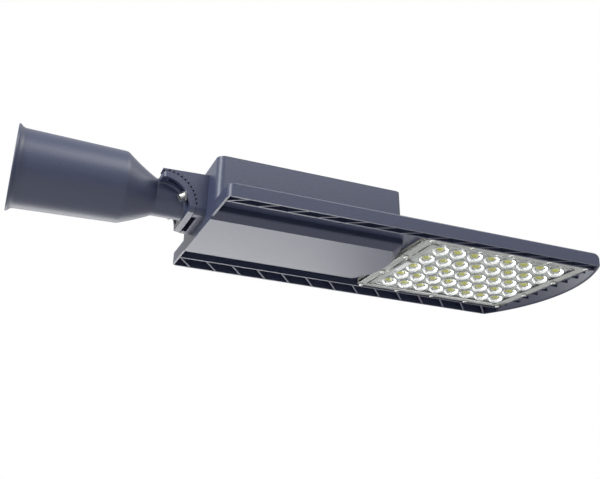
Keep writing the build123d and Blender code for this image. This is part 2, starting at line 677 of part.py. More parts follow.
def make_housing():
    body = housing_shell()
    body += belly_skin()
    body += box_form(0, SKIRT_H - 1, BOX_TOP)
    body += bracket_block()
    body += cooling_fins()
    duct_end = BOX_LENGTH + DUCT_LENGTH
    duct = box(BOX_LENGTH - 4, duct_end, -DUCT_HALF_W, DUCT_HALF_W, SKIRT_H - 1, SKIRT_H + DUCT_H)
    nose = [e for e in duct.edges() if e.center().X > duct_end - 0.1 and e.center().Z > SKIRT_H]
    body += fillet(nose, 3)

    body -= bracket_cuts()
    body -= bracket_core()
    under_box = box(BOX_WALL, BOX_LENGTH - BOX_WALL, -BELLY_HALF_W, BELLY_HALF_W,
                    COMPARTMENT_Z, SKIRT_H + 1)
    before_box = box(BOX_LENGTH - BOX_WALL, BELLY_FRONT, -BELLY_HALF_W, BELLY_HALF_W,
                     COMPARTMENT_Z, FLOOR_Z)
    body -= belly_form(BELLY_WALL) & (under_box + before_box)
    body -= box_form(BOX_WALL, SKIRT_H - 0.5, BOX_TOP + 1)
    rebate = box_form(BOX_WALL - LID_LEDGE, SKIRT_H, BOX_TOP + 1)
    body -= rebate & box(-5, BOX_LENGTH, -BOX_HALF_W, BOX_HALF_W, LEDGE_Z, BOX_TOP + 1)

    duct_in = DUCT_HALF_W - DUCT_WALL
    body -= box(BOX_LENGTH - BOX_WALL - 3, duct_end - DUCT_WALL, -duct_in, duct_in,
                SKIRT_H + 0.5, SKIRT_H + DUCT_H - DUCT_WALL)
    body -= box(duct_end - DUCT_WALL - 9, duct_end - DUCT_WALL, -duct_in, duct_in, 0, SKIRT_H + 1)

    body += [post(x, y, SKIRT_H - 1, LEDGE_Z, LID_BOSS_D) for x, y in lid_screw_points()]
    body += [post(x, y, COMPARTMENT_Z - 1, TRAY_Z, TRAY_BOSS_D) for x, y in tray_screw_points()]
    body += [post(x, y, PLATE_Z + PLATE_THICK, FLOOR_Z + 1, PLATE_POST_D)
             for x, y in plate_screw_points()]
    holes = [post(x, y, LEDGE_Z - 14, LEDGE_Z + 1, LID_SCREW_D + 2 * FIT)
             for x, y in lid_screw_points()]
    holes += [post(x, y, COMPARTMENT_Z, TRAY_Z + 1, SMALL_SCREW_D + 2 * FIT)
              for x, y in tray_screw_points()]
    holes += [post(x, y, PLATE_Z, FLOOR_Z + 1, PLATE_SCREW_D + 2 * FIT)
              for x, y in plate_screw_points()]
    holes += [post(x, y, FLOOR_Z - 1, FLOOR_Z + 1.6, BOARD_SCREW_D + 2 * FIT)
              for x, y in board_screw_points()]
    holes.append(rod(BOX_LENGTH - 12, BOX_LENGTH + 1, VENT_Z, VENT_D + 2 * FIT, VENT_Y))
    holes.append(rod(VENT_SEAT_X, BOX_LENGTH + 1, VENT_Z, VENT_SEAT_D, VENT_Y))
    return body - holes


# Knuckle pieces on the head

def make_tilt_screws():
    screws = []
    for side in (-1, 1):
        seat = FLANGE_IN_R - WASHER_THICK - 0.7
        y = side * SLOT_Y
        screw = radial(HEAD_PIVOT, TILT_SCREW_ANGLE, seat, TILT_SCREW_END_R, TILT_SCREW_D, y)
        screw += radial(HEAD_PIVOT, TILT_SCREW_ANGLE, seat - TILT_HEAD_H, seat, TILT_HEAD_D, y)
        key = Pos(HEAD_PIVOT[0], y, HEAD_PIVOT[2]) * Rot(0, 90 - TILT_SCREW_ANGLE, 0)
        screw -= key * socket_key(0, 0, seat - TILT_HEAD_H, seat - TILT_HEAD_H / 2, TILT_KEY)
        screws.append(screw)
    return screws


def make_tilt_washers():
    washers = []
    for side in (-1, 1):
        y = side * SLOT_Y
        r_out = FLANGE_IN_R - RUN_CLEARANCE
        shell = ring_sector(HEAD_PIVOT, r_out - WASHER_THICK, r_out, 0, 60, y - WASHER_D, y + WASHER_D)
        disc = radial(HEAD_PIVOT, TILT_SCREW_ANGLE, r_out / 2, SEAT_R, WASHER_D, y)
        hole = radial(HEAD_PIVOT, TILT_SCREW_ANGLE, r_out / 2, SEAT_R, TILT_SCREW_D + 2 * FIT, y)
        washers.append((shell & disc) - hole)
    return washers


def make_cable_grommet():
    r = RELIEF_R + CORE_WALL
    plug = radial(HEAD_PIVOT, CABLE_HOLE_ANGLE, RELIEF_R + 0.2, r + 1.5, CABLE_HOLE_D - 2 * FIT, 0)
    collar = radial(HEAD_PIVOT, CABLE_HOLE_ANGLE, r + 0.05, r + 2.2, CABLE_HOLE_D + 4, 0)
    dimple = radial(HEAD_PIVOT, CABLE_HOLE_ANGLE, r - 1, r + 3, 6, 0)
    return plug + collar - dimple


# Lid

def make_compartment_lid():
    clear = BOX_WALL - LID_LEDGE + LID_GAP
    lid = box_form(clear, SKIRT_H, BOX_TOP + 1)
    lid = lid & box(-5, BOX_LENGTH, -BOX_HALF_W, BOX_HALF_W, LID_BOTTOM, LID_TOP)
    rim = lid.edges().group_by(Axis.Z)[-1]
    lid = fillet(rim, 0.8)
    for x, y in lid_screw_points():
        lid -= post(x, y, LID_BOTTOM - 1, LID_TOP + 1, LID_SCREW_D + 2 * FIT)
    for i in range(LID_RIBS):
        x = BOX_LENGTH / 2 + (i - (LID_RIBS - 1) / 2) * LID_RIB_PITCH
        lid += box(x - LID_RIB_W / 2, x + LID_RIB_W / 2, -LID_RIB_HALF_W, LID_RIB_HALF_W,
                   LID_TOP - 0.5, LID_TOP + 0.5)
    return lid


def make_lid_gasket():
    clear = BOX_WALL - LID_LEDGE + LID_GAP
    outer = box_form(clear, SKIRT_H, BOX_TOP + 1)
    inner = box_form(BOX_WALL + 0.2, SKIRT_H, BOX_TOP + 1)
    span = box(-5, BOX_LENGTH, -BOX_HALF_W, BOX_HALF_W, LEDGE_Z, LID_BOTTOM)
    ring = (outer - inner) & span
    for x, y in lid_screw_points():
        ring += post(x, y, LEDGE_Z, LID_BOTTOM, LID_BOSS_D - 0.4) & (outer & span)
    for x, y in lid_screw_points():
        ring -= post(x, y, LEDGE_Z - 1, LID_BOTTOM + 1, LID_SCREW_D + 2 * FIT)
    return ring


def make_lid_screws():
    return [screw_down(x, y, LID_TOP, 14, LID_SCREW_D, 7.6, 2.6) for x, y in lid_screw_points()]


# LED module

def make_lens_plate():
    top = PLATE_Z + PLATE_THICK
    length = PLATE_FRONT - PLATE_REAR
    slab = Pos((PLATE_FRONT + PLATE_REAR) / 2, 0, PLATE_Z + PLATE_THICK / 2) * Box(
        length, 2 * PLATE_HALF_W, PLATE_THICK)
    slab = fillet(slab.edges().filter_by(Axis.Z), PLATE_CORNER_R)
    holes = [post(x, y, PLATE_Z - 1, top + 1, PLATE_SCREW_D + 2 * FIT)
             for x, y in plate_screw_points()]
    dome = lens_dome()
    domes = [Pos(x, y, PLATE_Z) * dome for x, y in led_points()]
    return slab - holes + lens_beads() + [wire_cover()] + domes


def lens_dome():
    """One lens: a collar, and two lobes along the road that meet in a shallow valley."""
    collar = Pos(0, 0, -LENS_COLLAR / 2) * Cylinder(LENS_D / 2, LENS_COLLAR)
    top = LOBE_R - LENS_H
    lobes = Pos(0, LOBE_SHIFT, top) * Sphere(LOBE_R) + Pos(0, -LOBE_SHIFT, top) * Sphere(LOBE_R)
    core = Pos(0, 0, -LENS_H / 2) * Cylinder(LOBE_D / 2, LENS_H)
    return collar + (lobes & core)


def lens_beads():
    """A raised bead round the lens field, broken where it passes a row's inner screws."""
    z0 = PLATE_Z - BEAD_H
    z1 = PLATE_Z + 0.2
    y1 = BEAD_HALF_W
    beads = [box(BEAD_REAR, BEAD_FRONT, y - BEAD_W / 2, y + BEAD_W / 2, z0, z1)
             for y in (BEAD_W / 2 - y1, y1 - BEAD_W / 2)]
    stops = sorted({y for x, y in plate_screw_points() if abs(y) < y1})
    starts = [-y1] + [y + BEAD_GAP / 2 for y in stops]
    ends = [y - BEAD_GAP / 2 for y in stops] + [y1]
    for x in (BEAD_REAR, BEAD_FRONT - BEAD_W):
        beads += [box(x, x + BEAD_W, y0, y2, z0, z1) for y0, y2 in zip(starts, ends)]
    return beads


def wire_cover():
    """The raised cover over the board's connector, beside the middle row's first lens."""
    x0 = PLATE_REAR + COVER_MARGIN
    cover = box(x0, x0 + COVER_W, COVER_Y - COVER_HALF_W, COVER_Y + COVER_HALF_W,
                PLATE_Z - COVER_H, PLATE_Z + 0.2)
    cover = fillet(cover.edges().filter_by(Axis.Z), COVER_W / 2 - 0.4)
    return fillet(cover.edges().group_by(Axis.Z)[0], 1)


def make_lens_gasket():
    edge = GASKET_BORDER
    low = PLATE_Z + PLATE_THICK
    ring = box(PLATE_REAR + edge, PLATE_FRONT - edge, -PLATE_HALF_W + edge, PLATE_HALF_W - edge,
               low, FLOOR_Z)
    ring = fillet(ring.edges().filter_by(Axis.Z), PLATE_CORNER_R - edge)
    ring -= box(BOARD_REAR - 1, BOARD_FRONT + 1, -BOARD_HALF_W - 1, BOARD_HALF_W + 1,
                low - 1, FLOOR_Z + 1)
    for x, y in plate_screw_points():
        ring -= post(x, y, low - 1, FLOOR_Z + 1, PLATE_POST_D + 4 * FIT)
    duct_in = DUCT_HALF_W - DUCT_WALL
    ring -= box(BOX_LENGTH + DUCT_LENGTH - DUCT_WALL - 9, BOARD_REAR, -duct_in, duct_in,
                low + 0.6, FLOOR_Z + 1)
    return ring


def make_lens_screws():
    return [screw_up(x, y, PLATE_Z, 6, PLATE_SCREW_D, PLATE_HEAD_D, PLATE_HEAD_H)
            for x, y in plate_screw_points()]


def board_slab(z0, z1, margin):
    slab = box(BOARD_REAR + margin, BOARD_FRONT - margin, -BOARD_HALF_W + margin,
               BOARD_HALF_W - margin, z0, z1)
    for x, y in board_screw_points():
        slab -= post(x, y, z0 - 1, z1 + 1, BOARD_SCREW_D + 4 * FIT)
    return slab


def make_thermal_pad():
    return board_slab(FLOOR_Z - PAD_THICK, FLOOR_Z, 1.0)


def board_face():
    return FLOOR_Z - PAD_THICK - BOARD_THICK


def make_led_board():
    return board_slab(board_face(), board_face() + BOARD_THICK, 0)


def make_led_packages():
    half = LED_SIZE / 2
    z = board_face()
    return [box(x - half, x + half, y - half, y + half, z - LED_H, z) for x, y in led_points()]


def make_board_screws():
    return [screw_up(x, y, board_face(), 3.2, BOARD_SCREW_D, BOARD_HEAD_D, BOARD_HEAD_H * 0.6)
            for x, y in board_screw_points()]


# Driver compartment contents

def make_gear_tray():
    x1 = TRAY_REAR + TRAY_LENGTH
    tray = box(TRAY_REAR, x1, -TRAY_HALF_W, TRAY_HALF_W, TRAY_Z, TRAY_Z + TRAY_THICK)
    for side in (-1, 1):
        y = side * (TRAY_HALF_W - TRAY_THICK / 2)
        tray += box(TRAY_REAR + 20, x1 - 20, y - TRAY_THICK / 2, y + TRAY_THICK / 2,
                    TRAY_Z, TRAY_Z + TRAY_LIP)
    points = tray_screw_points() + clamp_screw_points() + driver_screw_points()
    return tray - [post(x, y, TRAY_Z - 1, TRAY_Z + 4, SMALL_SCREW_D + 2 * FIT)
                   for x, y in points + [(EARTH_X, EARTH_Y)]]


def tray_top():
    return TRAY_Z + TRAY_THICK


def make_tray_screws():
    return [screw_down(x, y, tray_top(), 5.5, SMALL_SCREW_D, SMALL_HEAD_D, SMALL_HEAD_H)
            for x, y in tray_screw_points()]


def make_earth_screw():
    return screw_down(EARTH_X, EARTH_Y, tray_top(), 4.0, SMALL_SCREW_D, 8.0, 3.0)


def make_led_driver():
    """A potted driver in an extruded case, with a foot at each end."""
    z = tray_top()
    y0 = DRIVER_Y - DRIVER_W / 2
    y1 = DRIVER_Y + DRIVER_W / 2
    x1 = DRIVER_REAR + DRIVER_LENGTH
    case = box(DRIVER_REAR + 7, x1 - 7, y0, y1, z, z + DRIVER_H)
    case = fillet(case.edges().filter_by(Axis.X), 4)
    for i in range(6):
        y = DRIVER_Y + (i - 2.5) * 8
        case -= box(DRIVER_REAR, x1, y - 1.5, y + 1.5, z + DRIVER_H - 1.2, z + DRIVER_H + 1)
    feet = box(DRIVER_REAR, x1, y0 + 8, y1 - 8, z, z + 2)
    feet -= [post(x, y, z - 1, z + 3, SMALL_SCREW_D + 4 * FIT) for x, y in driver_screw_points()]
    return case + feet


def make_driver_screws():
    z = tray_top() + 2
    return [screw_down(x, y, z, 4.5, SMALL_SCREW_D, SMALL_HEAD_D, SMALL_HEAD_H)
            for x, y in driver_screw_points()]


def make_surge_protector():
    z = tray_top()
    case = box(SURGE_X - SURGE_LENGTH / 2, SURGE_X + SURGE_LENGTH / 2,
               SURGE_Y - SURGE_W / 2, SURGE_Y + SURGE_W / 2, z, z + SURGE_H)
    case = fillet(case.edges().filter_by(Axis.Z), 3)
    case = fillet(case.edges().group_by(Axis.Z)[-1], 1.5)
    window = Pos(SURGE_X, SURGE_Y, z + SURGE_H - 0.8) * Box(10, 4, 2)
    return case - window


def make_terminal_block():
    z = tray_top()
    block = box(TERMINAL_X - TERMINAL_LENGTH / 2, TERMINAL_X + TERMINAL_LENGTH / 2,
                TERMINAL_Y - TERMINAL_W / 2, TERMINAL_Y + TERMINAL_W / 2, z, z + TERMINAL_H)
    block = chamfer(block.edges().group_by(Axis.Z)[-1].filter_by(Axis.X), 3)
    pitch = TERMINAL_LENGTH / TERMINAL_POLES
    for i in range(TERMINAL_POLES):
        x = TERMINAL_X + (i - (TERMINAL_POLES - 1) / 2) * pitch
        block -= post(x, TERMINAL_Y, z + TERMINAL_H - 5, z + TERMINAL_H + 1, 5)
        across = Pos(x, TERMINAL_Y, z + 6) * Rot(90, 0, 0) * Cylinder(2, TERMINAL_W + 2)
        block -= across
    for i in range(TERMINAL_POLES - 1):
        x = TERMINAL_X + (i + 1 - TERMINAL_POLES / 2) * pitch
        block -= box(x - 0.6, x + 0.6, TERMINAL_Y - TERMINAL_W, TERMINAL_Y + TERMINAL_W,
                     z + TERMINAL_H - 4, z + TERMINAL_H + 1)
    return block


def make_cable_clamp():
    """An arched strap that grips the mains lead behind its entry."""
    z = tray_top()
    half = CLAMP_LENGTH / 2
    strap = box(CLAMP_X - CLAMP_W / 2, CLAMP_X + CLAMP_W / 2, CLAMP_Y - half, CLAMP_Y + half, z, z + 2.5)
    arch = Pos(CLAMP_X, CLAMP_Y, z) * Rot(0, 90, 0) * Cylinder(CLAMP_ARCH_R + 2, CLAMP_W)
    arch = arch & box(CLAMP_X - 20, CLAMP_X + 20, CLAMP_Y - 20, CLAMP_Y + 20, z, z + 20)
    tunnel = Pos(CLAMP_X, CLAMP_Y, z) * Rot(0, 90, 0) * Cylinder(CLAMP_ARCH_R, CLAMP_W + 2)
    strap = strap + arch - tunnel
    return strap - [post(x, y, z - 1, z + 4, SMALL_SCREW_D + 2 * FIT)
                    for x, y in clamp_screw_points()]


def make_clamp_screws():
    z = tray_top() + 2.5
    return [screw_down(x, y, z, 5.0, SMALL_SCREW_D, 5.4, 2) for x, y in clamp_screw_points()]


def make_breather_vent():
    x = VENT_SEAT_X
    stem = rod(x - 6, x + 1, VENT_Z, VENT_D, VENT_Y)
    plane = Plane((x, VENT_Y, VENT_Z), x_dir=(0, 1, 0), z_dir=(1, 0, 0))
    flange = extrude(plane * RegularPolygon(VENT_HEX / math.sqrt(3), 6), 2.5)
    cap = rod(x + 2.5, x + 6, VENT_Z, VENT_HEX - 2, VENT_Y)
    cap = fillet(cap.edges().group_by(Axis.X)[-1], 1.2)
    return stem + flange + cap


def make_duct_grommet():
    """The seal where the board's leads leave the compartment for the duct."""
    half = DUCT_HALF_W - DUCT_WALL - FIT
    z0 = SKIRT_H + 0.6
    z1 = SKIRT_H + DUCT_H - DUCT_WALL - FIT
    x = BOX_LENGTH - BOX_WALL
    plug = box(x - 0.4, x + 5, -half, half, z0, z1)
    for side in (-1, 1):
        plug -= rod(x - 2, x + 6, (z0 + z1) / 2, 2.4, side * 3)
    return plug


def make_board_connector():
    z = board_face()
    return box(BOARD_REAR + 0.5, BOARD_REAR + 5.5, COVER_Y - 8, COVER_Y + 8, z - 1.0, z)


SLEEVE_NODES = {
    "pole_sleeve": make_pole_sleeve,
    "sleeve_set_screws": make_sleeve_set_screws,
}
HEAD_NODES = {
    "housing": make_housing,
    "tilt_screws": make_tilt_screws,
    "tilt_washers": make_tilt_washers,
    "cable_grommet": make_cable_grommet,
    "compartment_lid": make_compartment_lid,
    "lid_gasket": make_lid_gasket,
    "lid_screws": make_lid_screws,
    "lens_plate": make_lens_plate,
    "lens_gasket": make_lens_gasket,
    "lens_screws": make_lens_screws,
    "thermal_pad": make_thermal_pad,
    "led_board": make_led_board,
    "led_packages": make_led_packages,
    "board_screws": make_board_screws,
    "board_connector": make_board_connector,
    "gear_tray": make_gear_tray,
    "tray_screws": make_tray_screws,
    "earth_screw": make_earth_screw,
    "led_driver": make_led_driver,
    "driver_screws": make_driver_screws,
    "surge_protector": make_surge_protector,
    "terminal_block": make_terminal_block,
    "cable_clamp": make_cable_clamp,
    "clamp_screws": make_clamp_screws,
    "duct_grommet": make_duct_grommet,
    "breather_vent": make_breather_vent,
}


def write_node(name, made, place):
    solids = made if isinstance(made, list) else [made]
    node = Compound(label=name, children=[place * s for s in solids])
    export_step(node, f"parts/{name}.step")


os.makedirs("parts", exist_ok=True)
for name, make in SLEEVE_NODES.items():
    write_node(name, make(), Pos(0, 0, 0))
for name, make in HEAD_NODES.items():
    write_node(name, make(), HEAD_PLACE)
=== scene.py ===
import math

import bmesh
import bpy
from mathutils import Matrix, Vector


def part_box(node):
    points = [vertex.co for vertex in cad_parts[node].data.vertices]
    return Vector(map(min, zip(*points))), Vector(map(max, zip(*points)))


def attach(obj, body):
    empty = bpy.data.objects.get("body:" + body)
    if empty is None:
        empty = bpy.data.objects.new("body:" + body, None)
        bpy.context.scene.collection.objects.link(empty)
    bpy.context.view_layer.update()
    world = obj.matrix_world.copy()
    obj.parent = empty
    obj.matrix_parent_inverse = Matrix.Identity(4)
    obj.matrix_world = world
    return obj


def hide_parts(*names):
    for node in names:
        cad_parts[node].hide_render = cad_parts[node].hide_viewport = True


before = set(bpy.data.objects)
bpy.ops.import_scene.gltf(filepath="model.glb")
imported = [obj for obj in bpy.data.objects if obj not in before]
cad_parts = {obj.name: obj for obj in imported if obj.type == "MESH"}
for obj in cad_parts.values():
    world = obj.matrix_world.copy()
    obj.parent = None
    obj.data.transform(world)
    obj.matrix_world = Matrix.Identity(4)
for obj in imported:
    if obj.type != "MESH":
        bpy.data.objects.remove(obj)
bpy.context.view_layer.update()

bl_info = {
    "name": "LED Street Light Head",
    "version": (1, 0, 0),
    "blender": (4, 5, 0),
    "location": "3D View > Sidebar > Street Light",
    "description": "Dresses the packed street light head and puts it on a stage",
    "category": "Object",
}

MM = 0.001

# Screws: diameter and height of the heads, diameter and length of the shanks
PLATE_HEAD_D = 5.4 * MM
PLATE_HEAD_H = 1.4 * MM
PLATE_SHANK_D = 3.0 * MM
PLATE_SHANK_LENGTH = 6.0 * MM
LID_HEAD_D = 7.6 * MM
LID_HEAD_H = 2.6 * MM
LID_SHANK_D = 4.0 * MM
LID_SHANK_LENGTH = 14.0 * MM

# Lens plate
CELL_POINTS = 12           # points along each side of a lens's share of the plate
CELL_COLLAR_H = 0.4 * MM   # height of the collar that a lens stands on
SEAL_GAP = 0.05 * MM       # keeps the clear plate's back off the seal's face
WELD = 0.01 * MM           # joins the lenses' shares of the plate to each other and to the border
CHIP_SIDE = 5.0 * MM
FIELD_STEP = (0.4 * MM, 1.2 * MM)  # run of the step round the lens field, along x and y
BEAD_SIDE = 10.0 * MM      # from the plate's sides to the bead
BEAD_REAR = 8.8 * MM
BEAD_FRONT = 11.4 * MM
BEAD_HEIGHT = 1.0 * MM
BEAD_WIDTH = 1.6 * MM
BEAD_BREAK = 5.0 * MM      # half the bead's break beside an inner screw
PLATE_CORNER_R = 3.0 * MM
PLATE_CHAMFER = 0.4 * MM
COVER_REAR = 11.2 * MM     # the wire cover, from the plate's rear edge to its own rear face
COVER_FRONT = 18.0 * MM
COVER_Y = (-17 * MM, 13 * MM)
COVER_HEIGHT = 2.4 * MM
COVER_ROOT = 0.3 * MM      # how far the cover runs into the plate

# Housing: the ends of its two inner walls
WALL_END_X = 586.3 * MM
WALL_END_Y = 84.7 * MM

# Stage
FRAME_WIDTH = 600          # pixels
SENSOR_WIDTH = 36.0        # mm, as Blender's camera takes it
VIEW_PLACE = (0.005217, -0.734963, -0.317557)
VIEW_TOWARDS = (0.33298, 0.87454, 0.35256)
VIEW_UP = (-0.16418, -0.31442, 0.93498)
FLOOR_HALF = 12.0
LIT_POINT = (0.3, 0, 0)    # the middle of the lamp head, which the soft boxes face
LAMP_DISTANCE = 1.6

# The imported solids' boxes that the finished pieces are fitted to
PLATE_LOW, PLATE_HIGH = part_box("lens_plate")
CHIP_LOW, CHIP_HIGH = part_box("led_packages")
BOARD_LOW, BOARD_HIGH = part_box("led_board")
LENS_SCREW_LOW, LENS_SCREW_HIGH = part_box("lens_screws")
LID_SCREW_LOW, LID_SCREW_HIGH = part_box("lid_screws")
LID_LOW, LID_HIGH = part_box("compartment_lid")


def linear(hex_colour):
    """An sRGB hex colour as the linear RGBA that shader sockets take."""
    channels = [int(hex_colour[i:i + 2], 16) / 255 for i in (1, 3, 5)]
    return tuple(c / 12.92 if c <= 0.04045 else ((c + 0.055) / 1.055) ** 2.4
                 for c in channels) + (1.0,)


def rgb(hex_colour):
    return linear(hex_colour)[:3]


def add_node(tree, kind, settings=None, inputs=None, links=None):
    """Adds one node: settings are its properties, inputs its values, links its incoming sockets."""
    node = tree.nodes.new(kind)
    for name, value in (settings or {}).items():
        setattr(node, name, value)
    for name, value in (inputs or {}).items():
        node.inputs[name].default_value = value
    for name, socket in (links or {}).items():
        tree.links.new(socket, node.inputs[name])
    return node


# Sizes and colours that a user would change

class CastingFinish(bpy.types.PropertyGroup):
    colour: bpy.props.FloatVectorProperty(
        name="Coat", description="Base colour of the powder coat", subtype="COLOR",
        default=rgb("#2F354C"), min=0, max=1)
    roughness: bpy.props.FloatProperty(
        name="Roughness", description="Gloss of the coat, lower is glossier",
        default=0.42, min=0, max=1, subtype="FACTOR")
    grain: bpy.props.FloatProperty(
        name="Grain", description="Size of the coat's texture, drawn coarser than the real one",
        default=1.8 * MM, min=0, unit="LENGTH")
    grain_depth: bpy.props.FloatProperty(
        name="Grain depth", description="Height of the coat's texture",
        default=0.12 * MM, min=0, unit="LENGTH")


class LensFinish(bpy.types.PropertyGroup):
    thickness: bpy.props.FloatProperty(
        name="Plate thickness", description="Thickness of the lens plate's flat",
        default=3.0 * MM, min=0, unit="LENGTH")
    field_thickness: bpy.props.FloatProperty(
        name="Field thickness", description="Thickness of the plate where it carries the lenses",
        default=2.2 * MM, min=0, unit="LENGTH")
    columns: bpy.props.IntProperty(
        name="Columns", description="Lenses along the lamp", default=8, min=1)
    rows: bpy.props.IntProperty(
        name="Rows", description="Lenses across the lamp", default=5, min=1)
    collar: bpy.props.FloatProperty(
        name="Collar", description="Diameter of a lens's collar",
        default=19.2 * MM, min=0, unit="LENGTH")
    dome: bpy.props.FloatProperty(
        name="Dome", description="Diameter of a lens's dome at its foot",
        default=17.8 * MM, min=0, unit="LENGTH")
    valley: bpy.props.FloatProperty(
        name="Valley", description="Depth of the valley between a lens's two lobes",
        default=0.7 * MM, min=0, unit="LENGTH")
    valley_width: bpy.props.FloatProperty(
        name="Valley width", description="Half width of that valley",
        default=1.6 * MM, min=0, unit="LENGTH")
    filling: bpy.props.FloatProperty(
        name="Filling", description="Radius of the clear silicone that joins each LED to its lens",
        default=3.8 * MM, min=0, unit="LENGTH")
    phosphor: bpy.props.FloatVectorProperty(
        name="Phosphor", description="Colour of an unlit LED's phosphor", subtype="COLOR",
        default=rgb("#D6D41E"), min=0, max=1)


class StageSettings(bpy.types.PropertyGroup):
    focal_px: bpy.props.FloatProperty(
        name="Focal length", description="Camera focal length in pixels of the frame",
        default=822.05, min=1)
    floor_drop: bpy.props.FloatProperty(
        name="Floor drop", description="Height of the object's origin above the floor",
        default=0.9, min=0, unit="LENGTH")
    floor_glow: bpy.props.FloatProperty(
        name="Floor glow", description="How much the floor is brightened for the eye and mirrors",
        default=0.35, min=0)
    key: bpy.props.FloatProperty(
        name="Key", description="Power of the soft light above, on the camera's side",
        default=28.0, min=0, unit="POWER")
    underlight: bpy.props.FloatProperty(
        name="Underlight", description="Power of the low soft light that the belly reflects",
        default=4.4, min=0, unit="POWER")
    side: bpy.props.FloatProperty(
        name="Side light", description="Power of the soft light at the pole's end",
        default=32.0, min=0, unit="POWER")
    ambient: bpy.props.FloatProperty(
        name="Ambient", description="Strength of the world's even light", default=0.3, min=0)


# Materials

def new_material(name):
    material = bpy.data.materials.new(name)
    material.use_nodes = True
    tree = material.node_tree
    tree.nodes.clear()
    shader = add_node(tree, "ShaderNodeBsdfPrincipled")
    add_node(tree, "ShaderNodeOutputMaterial", links={"Surface": shader.outputs["BSDF"]})
    return material, tree, shader


def object_noise(tree, size, detail=2.0):
    """A noise texture whose features are about `size` metres across on the object."""
    place = add_node(tree, "ShaderNodeTexCoord")
    return add_node(tree, "ShaderNodeTexNoise", inputs={"Scale": 1 / size, "Detail": detail},
                    links={"Vector": place.outputs["Object"]})


def vary_colour(tree, shader, base, dark, light, size):
    """Base colour that drifts between two shades of itself over `size` metres."""
    noise = object_noise(tree, size, 3.0)
    ramp = add_node(tree, "ShaderNodeValToRGB", links={"Fac": noise.outputs["Fac"]})
    ramp.color_ramp.elements[0].position = 0.32
    ramp.color_ramp.elements[0].color = tuple(c * dark for c in base[:3]) + (1,)
    ramp.color_ramp.elements[1].position = 0.68
    ramp.color_ramp.elements[1].color = tuple(min(1, c * light) for c in base[:3]) + (1,)
    tree.links.new(ramp.outputs["Color"], shader.inputs["Base Color"])


def vary_roughness(tree, shader, noise, low, high):
    """Roughness that drifts between two values with a noise texture."""
    rough = add_node(tree, "ShaderNodeMapRange", inputs={"To Min": low, "To Max": high},
                     links={"Value": noise.outputs["Fac"]})
    tree.links.new(rough.outputs["Result"], shader.inputs["Roughness"])


def add_bump(tree, shader, size, height):
    """Relief of the given height from a noise whose features are `size` metres across."""
    noise = object_noise(tree, size)
    bump = add_node(tree, "ShaderNodeBump", inputs={"Strength": 1.0, "Distance": height},
                    links={"Height": noise.outputs["Fac"]})
    tree.links.new(bump.outputs["Normal"], shader.inputs["Normal"])


def powder_coated_aluminium(finish):
    """Satin slate-blue powder coat: a fine pebbled skin that spreads highlights softly.

    The real grain is a few tenths of a millimetre across. It is drawn coarser here, so that it
    still shows at this size.
    """
    material, tree, shader = new_material("powder_coated_cast_aluminium")
    vary_colour(tree, shader, tuple(finish.colour), 0.96, 1.04, 1.6 * finish.grain)
    shader.inputs["Roughness"].default_value = finish.roughness
    shader.inputs["IOR"].default_value = 1.5
    add_bump(tree, shader, finish.grain, finish.grain_depth)
    return material


def clear_polycarbonate():
    """Injection-moulded clear polycarbonate: glossy, strongly bending, faintly grey in depth."""
    material, tree, shader = new_material("moulded_clear_polycarbonate")
    vary_colour(tree, shader, rgb("#F4F7F7"), 0.985, 1.0, 30 * MM)
    shader.inputs["Roughness"].default_value = 0.03
    shader.inputs["IOR"].default_value = 1.585
    shader.inputs["Transmission Weight"].default_value = 1.0
    return material


def solder_mask():
    """White solder mask on an aluminium board: smooth, slightly satin, very bright."""
    material, tree, shader = new_material("white_solder_mask")
    vary_colour(tree, shader, rgb("#F0F0EA"), 0.97, 1.0, 12 * MM)
    shader.inputs["Roughness"].default_value = 0.35
    return material


def led_phosphor(finish):
    """Unlit phosphor under clear silicone: saturated lemon yellow, granular and glossy on top."""
    material, tree, shader = new_material("led_phosphor_silicone")
    vary_colour(tree, shader, tuple(finish.phosphor), 0.9, 1.05, 0.4 * MM)
    shader.inputs["Roughness"].default_value = 0.25
    return material


def led_ceramic():
    """Moulded white package round the phosphor: matt and chalky."""
    material, tree, shader = new_material("white_ceramic_package")
    vary_colour(tree, shader, rgb("#E4E4DC"), 0.97, 1.0, 2 * MM)
    shader.inputs["Roughness"].default_value = 0.5
    return material


def silicone_rubber(name, hex_colour):
    """Moulded silicone: matt, a little dusty, with a faint sheen."""
    material, tree, shader = new_material(name)
    vary_colour(tree, shader, rgb(hex_colour), 0.9, 1.08, 3 * MM)
    shader.inputs["Roughness"].default_value = 0.62
    shader.inputs["Sheen Weight"].default_value = 0.1
    add_bump(tree, shader, 0.8 * MM, 0.03 * MM)
    return material


def stainless_steel():
    """Cold-headed A2 stainless: bright, with fine streaks from forming."""
    material, tree, shader = new_material("cold_headed_stainless")
    shader.inputs["Metallic"].default_value = 1.0
    vary_colour(tree, shader, rgb("#CFCFCB"), 0.93, 1.0, 1.5 * MM)
    vary_roughness(tree, shader, object_noise(tree, 0.6 * MM), 0.2, 0.34)
    return material


def zinc_plated_steel():
    """Bright zinc plate: silvery with a faint cool cast and a cloudy gloss."""
    material, tree, shader = new_material("bright_zinc_plate")
    shader.inputs["Metallic"].default_value = 1.0
    vary_colour(tree, shader, rgb("#BFC3C6"), 0.9, 1.04, 4 * MM)
    vary_roughness(tree, shader, object_noise(tree, 2.5 * MM), 0.28, 0.45)
    return material


